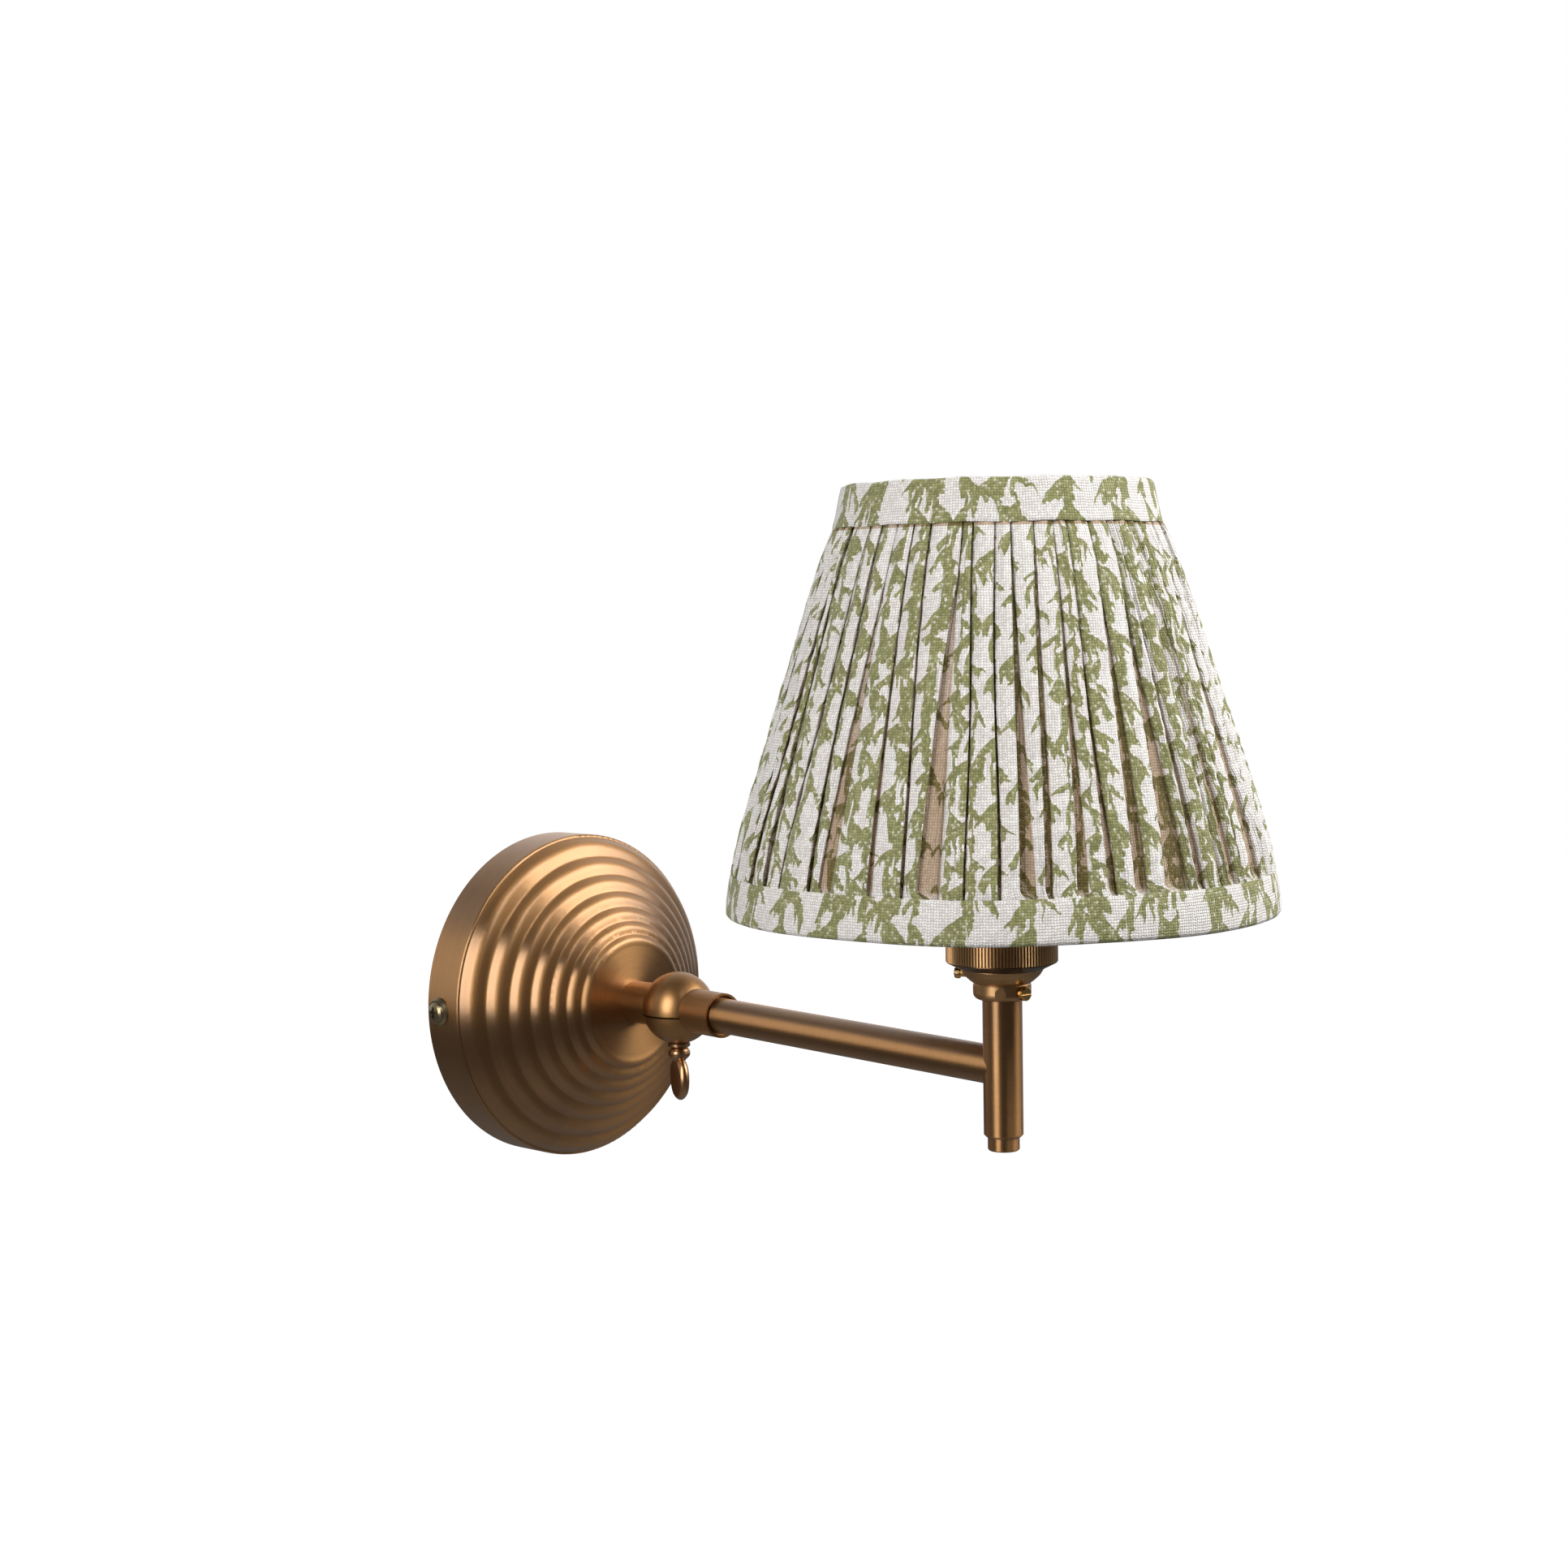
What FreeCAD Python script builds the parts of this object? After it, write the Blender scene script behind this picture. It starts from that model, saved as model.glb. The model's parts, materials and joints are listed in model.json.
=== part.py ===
import FreeCAD, Part
import math
import os
import re

import Sketcher

# Swing arm wall sconce: a spun backplate on a wall bracket, a clamped ball knuckle, an arm tube with
# an upright stem, a brass lampholder and a gathered fabric shade.
#
# Row frame: the wall is the plane y = 0 and the room is on the -Y side, +Z is up, and the origin is the
# centre of the backplate where it meets the wall.  The swinging pieces are drawn in the arm frame (origin
# at the ball's centre, the arm along -Y) and the lampholder and shade in the stem frame (the same
# directions, origin on the stem's axis at the height of the ball).  Units are millimetres.

DIMENSIONS = {
    # backplate cover, spun from one sheet
    "cover_radius": 70.3,
    "cover_depth": 19.5,
    "cover_wall": 1.2,
    "dome_radius": 69.2,
    "disk_radius": 24.0,
    "disk_height": 53.0,
    "ripple_count": 7,
    "ripple_shrink": 0.92,
    "ripple_relief": 0.21,
    "ripple_sharpness": 1.4,
    "dome_power": 1.2,
    "entry_radius": 5.3,
    # wall bracket and what it carries
    "strap_thickness": 2.0,
    "strap_half_length": 62.0,
    "strap_half_height": 17.0,
    "tab_outer": 68.3,
    "tab_half_height": 6.0,
    "tab_depth": 14.0,
    "slot_spacing": 60.0,
    "slot_width": 4.8,
    "slot_length": 14.0,
    "cable_hole_radius": 5.0,
    "cable_hole_height": 9.0,
    "rim_screw_depth": 7.5,
    "rim_screw_shank": 1.95,
    "rim_screw_length": 10.0,
    "rim_screw_head": 4.35,
    "rim_washer_radius": 6.0,
    "rim_washer_height": 1.9,
    "earth_place": 49.0,
    "earth_tag_length": 6.0,
    "block_half_length": 8.5,
    "block_bottom": 16.5,
    "block_top": 1.5,
    "block_depth": 11.0,
    # fixing of the knuckle behind the cover's flat disk
    "spreader_radius": 20.0,
    "spreader_thickness": 2.0,
    "nut_flats": 14.0,
    "nut_thickness": 3.5,
    "spring_washer_thickness": 1.2,
    "nipple_radius": 5.0,
    "nipple_bore": 4.0,
    "nipple_inner_end": 43.4,
    "nipple_outer_end": 63.0,
    "thread_clearance": 0.05,
    "assembly_gap": 0.05,
    # ball knuckle
    "ball_distance": 79.94,
    "ball_radius": 15.2,
    "ball_cavity": 12.2,
    "ball_flat": 14.6,
    "seam_upper": 1.9,
    "seam_lower": 2.7,
    "ball_clearance": 0.3,
    "stub_radius": 9.0,
    "upper_boss_radius": 4.6,
    "lower_boss_radius": 5.5,
    "collar_radius": 9.3,
    "collar_end": 30.6,
    "collar_recess_radius": 8.4,
    "collar_recess_depth": 2.2,
    "passage_half_width": 3.9,
    # wing screw
    "screw_shank": 2.45,
    "screw_top": 6.5,
    "screw_hole": 2.75,
    "neck_radius": 4.75,
    "neck_height": 1.9,
    "waist_radius": 3.1,
    "bulb_knop_radius": 4.7,
    "bulb_knop_height": 5.2,
    "paddle_half_width": 7.5,
    "paddle_half_height": 9.4,
    "paddle_centre": 30.0,
    "paddle_thickness": 4.4,
    "paddle_waist": 2.6,
    "paddle_dish_radius": 32.0,
    # arm and stem
    "arm_length": 195.75,
    "arm_radius": 7.23,
    "arm_bore": 5.8,
    "arm_start": 19.1,
    "stem_radius": 7.27,
    "stem_bore": 5.9,
    "stem_bottom": 25.8,
    "stem_top": 24.9,
    "stem_chamfer": 1.0,
    "wire_hole": 4.4,
    "end_cap_radius": 5.85,
    "end_cap_bottom": 30.7,
    "end_cap_plug": 14.0,
    # lampholder
    "holder_collar_radius": 10.6,
    "holder_collar_round": 2.4,
    "holder_collar_top": 31.0,
    "holder_cone_radius": 15.3,
    "holder_cone_top": 36.1,
    "holder_flange_radius": 18.4,
    "holder_flange_top": 40.2,
    "holder_dish_radius": 9.4,
    "holder_dish_bottom": 31.0,
    "grub_screw_height": 28.0,
    "earth_screw_height": 34.2,
    "side_screw_hole": 1.55,
    "union_radius": 20.4,
    "union_chamfer_top": 38.6,
    "union_top": 48.0,
    "knurl_count": 105,
    "knurl_depth": 0.3,
    "barrel_radius": 19.0,
    "barrel_root": 18.4,
    "barrel_bore": 17.5,
    "barrel_top": 80.0,
    "barrel_pitch": 2.5,
    "barrel_thread_start": 49.5,
    "terminal_offset": 7.5,
    "insert_base": 41.0,
    "insert_top": 47.5,
    "shell_radius": 14.6,
    "shell_wall": 0.5,
    "shell_top": 72.0,
    # bulb
    "bulb_bottom": 51.2,
    "bulb_cap_radius": 13.1,
    "bulb_cap_top": 76.0,
    "bulb_top": 129.0,
    "bulb_radius": 22.5,
    # shade carrier and shade
    "shade_ring_radius": 27.5,
    "shade_ring_height": 4.6,
    "shade_ring_lower": 53.0,
    "carrier_thickness": 1.7,
    "carrier_radius": 28.8,
    "carrier_bore": 19.5,
    "wire_radius": 1.3,
    "carrier_arm_radius": 1.4,
    "shade_bottom": 57.2,
    "shade_top": 211.5,
    "shade_bottom_radius": 100.0,
    "shade_top_radius": 55.9,
    "band_height": 15.4,
    "band_thickness": 1.0,
    "bottom_band_lean": 1.8,
    "top_band_lean": 3.0,
    "fabric_gap": 0.2,
    "belly_radius": 1130.0,
    "lining_thickness": 0.5,
    "lining_bottom_radius": 94.2,
    "lining_top_radius": 51.8,
    # wiring
    "lead_radius": 1.0,
    "lead_offset": 2.6,
    "lead_dip": 3.9,
}
REST_SWING = -6.67
PADDLE_TURN = 66.5
EARTH_SCREW_TURN = 125.0
CARRIER_ARM_TURNS = (30.0, 150.0, 270.0)

X_AXIS = FreeCAD.Vector(1, 0, 0)
Y_AXIS = FreeCAD.Vector(0, 1, 0)
Z_AXIS = FreeCAD.Vector(0, 0, 1)

doc = FreeCAD.newDocument("sconce")
sub_parts = []


# ---------------------------------------------------------------- sheet and expressions

def make_sheet():
    """Puts the driving dimensions in a spreadsheet, one aliased cell each."""
    sheet = doc.addObject("Spreadsheet::Sheet", "Dims")
    for row, (alias, value) in enumerate(DIMENSIONS.items(), start=1):
        sheet.set("A%d" % row, alias)
        sheet.set("B%d" % row, str(value))
        sheet.setAlias("B%d" % row, alias)
    doc.recompute()
    return sheet


sheet = make_sheet()


def dim(alias):
    """The value of a cell of the sheet."""
    return float(sheet.get(alias))


def formula(text):
    """A dimension formula as FreeCAD writes it: each alias gets the sheet's name before it."""
    def qualify(match):
        word = match.group()
        return "Dims." + word if word in DIMENSIONS else word
    return re.sub(r"[a-z_]+", qualify, str(text))


def value_of(text):
    """What a dimension formula comes to."""
    return float(sheet.evalExpression(formula(text)))


def bind(thing, **sizes):
    """Binds an object's properties to dimension formulas."""
    for name, text in sizes.items():
        thing.setExpression(name, formula(text))
    return thing


# ---------------------------------------------------------------- placements

def turn_about(axis, degrees):
    return FreeCAD.Rotation(axis, degrees)


ROW = FreeCAD.Placement()
BALL = FreeCAD.Placement(FreeCAD.Vector(0, -dim("ball_distance"), 0), FreeCAD.Rotation())
ARM = FreeCAD.Placement(BALL.Base, turn_about(Z_AXIS, REST_SWING))
STEM = ARM.multiply(FreeCAD.Placement(FreeCAD.Vector(0, -dim("arm_length"), 0), FreeCAD.Rotation()))


def keep(label, shape_object, placement=ROW):
    """Names a finished sub-part and puts it in its place."""
    shape_object.Label = label
    shape_object.Placement = placement
    sub_parts.append(shape_object)
    return shape_object


# ---------------------------------------------------------------- sketches

def origin_plane(body, role):
    return next(item for item in body.Origin.OriginFeatures if item.Role == role)


def new_sketch(body, role):
    sketch = body.newObject("Sketcher::SketchObject", body.Name + "Sketch")
    sketch.AttachmentSupport = [(origin_plane(body, role), "")]
    sketch.MapMode = "FlatFace"
    return sketch


def pin_coordinate(sketch, kind, edge, text):
    """Holds the start of an edge at a signed distance from the sketch's origin, by a formula."""
    size = value_of(text)
    if abs(size) < 1e-9:
        axis = -1 if kind == "DistanceY" else -2
        sketch.addConstraint(Sketcher.Constraint("PointOnObject", edge, 1, axis))
        return
    ends = (-1, 1, edge, 1) if size > 0 else (edge, 1, -1, 1)
    index = sketch.addConstraint(Sketcher.Constraint(kind, *ends, abs(size)))
    signed = formula(text) if size > 0 else "-(" + formula(text) + ")"
    sketch.setExpression("Constraints[%d]" % index, signed)


def draw_outline(sketch, corners):
    """Draws a closed outline of straight edges through the corners, each (x, y) in formulas."""
    points = [FreeCAD.Vector(value_of(x), value_of(y), 0) for x, y in corners]
    first = sketch.GeometryCount
    for start, end in zip(points, points[1:] + points[:1]):
        sketch.addGeometry(Part.LineSegment(start, end))
    count = len(points)
    for number in range(count):
        following = first + (number + 1) % count
        sketch.addConstraint(Sketcher.Constraint("Coincident", first + number, 2, following, 1))
    for number, (x, y) in enumerate(corners):
        pin_coordinate(sketch, "DistanceX", first + number, x)
        pin_coordinate(sketch, "DistanceY", first + number, y)


def turned(name, corners, about="Z"):
    """A body turned about Z or Y: its outline's corners are (radius, place along the axis)."""
    body = doc.addObject("PartDesign::Body", name)
    sketch = new_sketch(body, "XZ_Plane" if about == "Z" else "XY_Plane")
    draw_outline(sketch, corners)
    revolution = body.newObject("PartDesign::Revolution", name + "Turned")
    revolution.Profile = sketch
    revolution.ReferenceAxis = (sketch, ["V_Axis"])
    revolution.Angle = 360
    doc.recompute()
    return body


def padded(name, role, corners, length):
    """A body padded evenly to both sides of one of its origin planes."""
    body = doc.addObject("PartDesign::Body", name)
    sketch = new_sketch(body, role)
    draw_outline(sketch, corners)
    pad = body.newObject("PartDesign::Pad", name + "Pad")
    pad.Profile = sketch
    pad.Midplane = True
    bind(pad, Length=length)
    doc.recompute()
    return body


# ---------------------------------------------------------------- primitives and booleans

def put(thing, x, y, z, rotation=None):
    """Places a primitive's base at a point given in formulas."""
    thing.Placement = FreeCAD.Placement(FreeCAD.Vector(), rotation or FreeCAD.Rotation())
    for axis, text in (("x", x), ("y", y), ("z", z)):
        thing.setExpression("Placement.Base." + axis, formula(text))
    return thing


def cylinder(radius, height, x=0, y=0, z=0, along=Z_AXIS):
    shape = bind(doc.addObject("Part::Cylinder", "Cylinder"), Radius=radius, Height=height)
    return put(shape, x, y, z, FreeCAD.Rotation(Z_AXIS, along))


def box(length, width, height, x, y, z):
    """A box with its lowest corner at x, y, z."""
    shape = bind(doc.addObject("Part::Box", "Box"), Length=length, Width=width, Height=height)
    return put(shape, x, y, z)


def sphere(radius):
    return bind(doc.addObject("Part::Sphere", "Sphere"), Radius=radius)


def cut(base, *tools):
    result = base
    for tool in tools:
        step = doc.addObject("Part::Cut", "Cut")
        step.Base = result
        step.Tool = tool
        result = step
    doc.recompute()
    return result


def fuse(*pieces):
    result = doc.addObject("Part::MultiFuse", "Fuse")
    result.Shapes = list(pieces)
    doc.recompute()
    return result


def common(*pieces):
    result = doc.addObject("Part::MultiCommon", "Common")
    result.Shapes = list(pieces)
    doc.recompute()
    return result


def group(*pieces):
    result = doc.addObject("Part::Compound", "Group")
    result.Links = list(pieces)
    doc.recompute()
    return result


def placed(piece, placement):
    """A piece in a place of its own, for a group."""
    piece.Placement = placement
    return piece


def raw_feature(name, shape):
    """A shape made straight from Part's own functions."""
    feature = doc.addObject("Part::Feature", name)
    feature.Shape = shape
    return feature


# ---------------------------------------------------------------- backplate

def dome_point(turn, inset):
    """A point (radius, height) of the dome at a number of ripples from its rim, inset by the wall."""
    shrink = dim("ripple_shrink")
    span = dim("dome_radius") - dim("disk_radius")
    first_width = span * (1 - shrink) / (1 - shrink ** dim("ripple_count"))
    width = first_width * shrink ** turn
    radius = dim("dome_radius") - (first_width - width) / (1 - shrink)
    reach = max(0.0, (radius - dim("disk_radius")) / span)
    rise = dim("disk_height") - dim("cover_depth")
    height = dim("cover_depth") + rise * (1 - reach ** dim("dome_power"))
    slope = rise * dim("dome_power") * reach ** (dim("dome_power") - 1) / span
    length = math.hypot(1, slope)
    relief = dim("ripple_relief") * width * abs(math.sin(math.pi * turn)) ** dim("ripple_sharpness")
    offset = relief - inset
    return radius + offset * slope / length, height + offset / length


def dome_curve(inset):
    """The rippled curve of the dome from its rim to its flat disk, as one spline."""
    steps_per_ripple = 8
    steps = int(dim("ripple_count")) * steps_per_ripple
    points = []
    for step in range(steps + 1):
        radius, height = dome_point(step / steps_per_ripple, inset)
        points.append(FreeCAD.Vector(radius, -height, 0))
    curve = Part.BSplineCurve()
    curve.interpolate(points)
    return curve.toShape(), points[0], points[-1]


def cover_section():
    """The cover's section as a closed outline: the radius along X and the height along -Y."""
    rim, depth, wall = dim("cover_radius"), dim("cover_depth"), dim("cover_wall")
    outer, outer_start, outer_end = dome_curve(0)
    inner, inner_start, inner_end = dome_curve(wall)
    edge_round = rim - outer_start.x
    half_round = edge_round * (1 - math.sqrt(0.5))
    corner = FreeCAD.Vector(rim, edge_round - depth, 0)
    bend = FreeCAD.Vector(rim - half_round, half_round - depth, 0)
    skirt = FreeCAD.Vector(rim - wall, inner_start.y + wall, 0)
    foot_inside = FreeCAD.Vector(rim - wall, 0, 0)
    foot_outside = FreeCAD.Vector(rim, 0, 0)
    lip_outside = FreeCAD.Vector(dim("entry_radius"), outer_end.y, 0)
    lip_inside = FreeCAD.Vector(dim("entry_radius"), inner_end.y, 0)
    return Part.Wire([
        Part.makeLine(foot_inside, foot_outside), Part.makeLine(foot_outside, corner),
        Part.Arc(corner, bend, outer_start).toShape(), outer, Part.makeLine(outer_end, lip_outside),
        Part.makeLine(lip_outside, lip_inside), Part.makeLine(lip_inside, inner_end), inner,
        Part.makeLine(inner_start, skirt), Part.makeLine(skirt, foot_inside)])


def backplate_cover():
    """Drum rim, rippled dome and flat disk, with the knuckle's hole and the two rim screw holes."""
    shell = raw_feature("CoverShell", Part.Face(cover_section()).revolve(FreeCAD.Vector(), Y_AXIS, 360))
    holes = cylinder("rim_screw_shank + 0.3", "2 * cover_radius + 4", "-cover_radius - 2",
                     "-rim_screw_depth", 0, X_AXIS)
    keep("backplate_cover", cut(shell, holes))


def wall_bracket():
    """Flat strap with two slots, a cable hole and two folded tabs tapped for the rim screws."""
    strap = padded("Strap", "XZ_Plane", [
        ("-strap_half_length", "-strap_half_height"), ("strap_half_length", "-strap_half_height"),
        ("strap_half_length", "strap_half_height"), ("-strap_half_length", "strap_half_height")],
        "2 * strap_thickness")
    tabs = padded("Tabs", "XY_Plane", [
        ("-tab_outer", "0"), ("tab_outer", "0"), ("tab_outer", "-tab_depth"),
        ("tab_outer - strap_thickness", "-tab_depth"), ("tab_outer - strap_thickness", "-strap_thickness"),
        ("strap_thickness - tab_outer", "-strap_thickness"), ("strap_thickness - tab_outer", "-tab_depth"),
        ("-tab_outer", "-tab_depth")], "2 * tab_half_height")
    behind_wall = box("2 * tab_outer", "strap_thickness + 1", "2 * strap_half_height + 2",
                      "-tab_outer", 0, "-strap_half_height - 1")
    tools = [behind_wall]
    for side in ("-", ""):
        centre = side + "slot_spacing / 2"
        tools.append(box("slot_length - slot_width", "3 * strap_thickness", "slot_width",
                         centre + " - (slot_length - slot_width) / 2",
                         "-2 * strap_thickness", "-slot_width / 2"))
        for end in ("-", "+"):
            tools.append(cylinder("slot_width / 2", "3 * strap_thickness",
                                  centre + end + "(slot_length - slot_width) / 2",
                                  "-2 * strap_thickness", 0, Y_AXIS))
    tools.append(cylinder("cable_hole_radius", "3 * strap_thickness", 0, "-2 * strap_thickness",
                          "cable_hole_height", Y_AXIS))
    tools.append(cylinder("rim_screw_shank + thread_clearance", "3 * strap_thickness", "earth_place",
                          "-2 * strap_thickness", 0, Y_AXIS))
    tools.append(cylinder("rim_screw_shank + thread_clearance", "2 * tab_outer + 2", "-tab_outer - 1",
                          "-rim_screw_depth", 0, X_AXIS))
    keep("wall_bracket", cut(fuse(strap, tabs), *tools))


def cross_recess(depth, top):
    """Two crossed bars that cut a screwdriver recess down from a height along Z."""
    long_bar = box("4.6", "1.1", depth, "-2.3", "-0.55", top)
    cross_bar = box("1.1", "4.6", depth, "-0.55", "-2.3", top)
    return [long_bar, cross_bar]


def raised_screw(name):
    """A raised countersunk machine screw along Z: z = 0 is the surface that its washer lies on."""
    blank = turned(name, [
        ("0", "-rim_screw_length"), ("rim_screw_shank", "-rim_screw_length"), ("rim_screw_shank", "0.4"),
        ("rim_screw_head", "rim_washer_height"), ("rim_screw_head * 0.93", "rim_washer_height + 0.7"),
        ("rim_screw_head * 0.7", "rim_washer_height + 1.3"),
        ("rim_screw_head * 0.38", "rim_washer_height + 1.6"),
        ("0", "rim_washer_height + 1.7")])
    return cut(blank, *cross_recess("3", "rim_washer_height + 0.1"))


def cup_washer(name):
    return turned(name, [
        ("rim_screw_shank + 0.35", "0.05"), ("rim_washer_radius", "0.05"), ("rim_washer_radius", "0.6"),
        ("rim_screw_head + 0.65", "rim_washer_height"), ("rim_screw_head + 0.15", "rim_washer_height"),
        ("rim_screw_shank + 0.35", "0.5")])


def rim_fasteners():
    """The two rim screws and their cup washers, at the left and right ends of the drum."""
    screws, washers = [], []
    for side in (-1, 1):
        seat = FreeCAD.Vector(side * dim("cover_radius"), -dim("rim_screw_depth"), 0)
        spot = FreeCAD.Placement(seat, turn_about(Y_AXIS, 90 * side))
        screws.append(placed(raised_screw("RimScrew"), spot))
        washers.append(placed(cup_washer("RimWasher"), spot))
    keep("rim_screws", group(*screws))
    keep("rim_screw_washers", group(*washers))


def earth_stud():
    """The bracket's earth screw with the ring tag that it clamps."""
    face = FreeCAD.Placement(FreeCAD.Vector(dim("earth_place"), -dim("strap_thickness"), 0),
                             turn_about(X_AXIS, 90))
    head = turned("EarthScrew", [
        ("0", "-2"), ("rim_screw_shank", "-2"), ("rim_screw_shank", "0.9"), ("3.6", "0.9"), ("3.6", "2.5"),
        ("3.0", "3.1"), ("0", "3.3")])
    keep("bracket_earth_screw", cut(head, *cross_recess("3", "2")), face)
    ring = cylinder(3.4, 0.8, 0, 0, 0.05)
    tongue = box("earth_tag_length", "2.2", "0.8", "-earth_tag_length - 1", "-1.1", "0.05")
    tag = cut(fuse(ring, tongue), cylinder("rim_screw_shank + 0.1", 2, 0, 0, -0.5))
    keep("earth_ring_tag", tag, face)


def terminal_block():
    """Two-way connector block on the strap, with two clamp screws in each way."""
    half = dim("block_half_length")
    block = box("2 * block_half_length", "block_depth", "block_bottom - block_top",
                "-block_half_length", "-strap_thickness - block_depth", "-block_bottom")
    tools, screws = [], []
    for way in (-half / 2, half / 2):
        tools.append(cylinder(1.6, "block_bottom", way, "-rim_screw_depth", "-block_bottom - 0.5", Z_AXIS))
        for height in (-dim("block_bottom") + 4, -dim("block_top") - 4):
            tools.append(cylinder(1.75, 4, way, "-strap_thickness - block_depth - 0.1", height, Y_AXIS))
            screw = cylinder(1.6, 3.0, way, "-strap_thickness - block_depth + 0.8", height, Y_AXIS)
            slot = box(3.4, 0.8, 0.6, way - 1.7, "-strap_thickness - block_depth + 0.7", height - 0.3)
            screws.append(cut(screw, slot))
    waist = box(1.2, "block_depth * 0.55", "block_bottom", -0.6, "-strap_thickness - block_depth - 0.1",
                "-block_bottom - 0.5")
    keep("terminal_block", cut(block, waist, *tools))
    keep("terminal_screws", group(*screws))


# ---------------------------------------------------------------- fixing behind the cover

def knuckle_fixing():
    """What clamps the knuckle's stub to the cover: spreader plate, spring washer, nut and nipple."""
    inside = "-disk_height + cover_wall + assembly_gap"
    plate = inside + " + spreader_thickness"
    washer = plate + " + assembly_gap"
    nut = washer + " + spring_washer_thickness + assembly_gap"
    nipple_hole = "nipple_radius + thread_clearance"
    keep("spreader_plate", turned("SpreaderPlate", [
        (nipple_hole, inside), ("spreader_radius", inside), ("spreader_radius", plate),
        (nipple_hole, plate)], "Y"))
    keep("spring_washer", turned("SpringWasher", [
        (nipple_hole, washer), ("nipple_radius + 3.6", washer),
        ("nipple_radius + 3.6", washer + " + spring_washer_thickness"),
        (nipple_hole, washer + " + spring_washer_thickness")], "Y"))
    hexagon = bind(doc.addObject("Part::Prism", "Hexagon"), Circumradius="nut_flats / sqrt(3)",
                   Height="nut_thickness")
    hexagon.Polygon = 6
    put(hexagon, 0, nut, 0, FreeCAD.Rotation(Z_AXIS, Y_AXIS))
    bore = cylinder(nipple_hole, "nut_thickness + 2", 0, nut + " - 1", 0, Y_AXIS)
    keep("nipple_locknut", cut(hexagon, bore))
    keep("knuckle_nipple", turned("KnuckleNipple", [
        ("nipple_bore", "-nipple_outer_end"), ("nipple_radius", "-nipple_outer_end"),
        ("nipple_radius", "-nipple_inner_end"), ("nipple_bore", "-nipple_inner_end")], "Y"))


# ---------------------------------------------------------------- ball knuckle, in the arm frame

def slab(low, high):
    """Everything within the knuckle's reach between two heights."""
    return box(90, 90, "(" + high + ") - (" + low + ")", -45, -45, low)


def knuckle_half(low, high, sleeve, boss):
    """One half of the ball between two heights, with its sleeve cut to the ball's other half."""
    zone = slab(low, high)
    ball = common(cut(sphere("ball_radius"), sphere("ball_cavity")), zone)
    inner_boss = common(boss, sphere("ball_cavity + 1"), zone)
    link = common(cut(sleeve, sphere("ball_cavity")), sphere("ball_radius + 0.5"), zone)
    outside = cut(sleeve, sphere("ball_radius + ball_clearance"))
    return fuse(ball, inner_boss, link, outside)


def knuckle_upper():
    """Upper half of the ball in one piece with the stub that screws onto the nipple."""
    stub = cylinder("stub_radius", "ball_distance - disk_height - ball_cavity + 4", 0, "ball_cavity - 4", 0,
                    Y_AXIS)
    boss = cylinder("upper_boss_radius", "ball_cavity + 5", 0, 0, -2)
    body = knuckle_half("-seam_upper", "ball_radius + 5", stub, boss)
    entry = cylinder("nipple_radius + thread_clearance", 14, 0, "ball_distance - nipple_outer_end - 0.3", 0,
                     Y_AXIS)
    passage = box("2 * passage_half_width", 12, "4.9", "-passage_half_width", "ball_cavity - 3.5", "-1.3")
    tapped = cylinder("screw_shank + thread_clearance", "screw_top + 6", 0, 0, -5)
    keep("knuckle_upper", cut(body, entry, passage, tapped), BALL)


def knuckle_lower():
    """Lower half of the ball in one piece with the collar that holds the arm tube."""
    collar = cylinder("collar_radius", "collar_end - ball_cavity + 4", 0, "4 - ball_cavity", 0, Y_AXIS * -1)
    boss = cylinder("lower_boss_radius", "ball_cavity + 3", 0, 0, "-ball_cavity - 2")
    body = knuckle_half("-ball_flat", "-seam_lower", collar, boss)
    recess = cylinder("collar_recess_radius", 10, 0, "collar_recess_depth - collar_end", 0, Y_AXIS * -1)
    socket = cylinder("arm_radius + thread_clearance", 20, 0, "-arm_start + assembly_gap", 0, Y_AXIS * -1)
    passage = box("2 * passage_half_width", 12, "4", "-passage_half_width", "-arm_start - 1",
                  "-seam_lower - 3.2")
    hole = cylinder("screw_hole", 20, 0, 0, -20)
    keep("knuckle_lower", cut(body, recess, socket, passage, hole), ARM)


def friction_washer():
    keep("friction_washer", turned("FrictionWasher", [
        ("screw_hole", "assembly_gap - seam_lower"), ("lower_boss_radius", "assembly_gap - seam_lower"),
        ("lower_boss_radius", "-seam_upper - assembly_gap"),
        ("screw_hole", "-seam_upper - assembly_gap")]), BALL)


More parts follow.
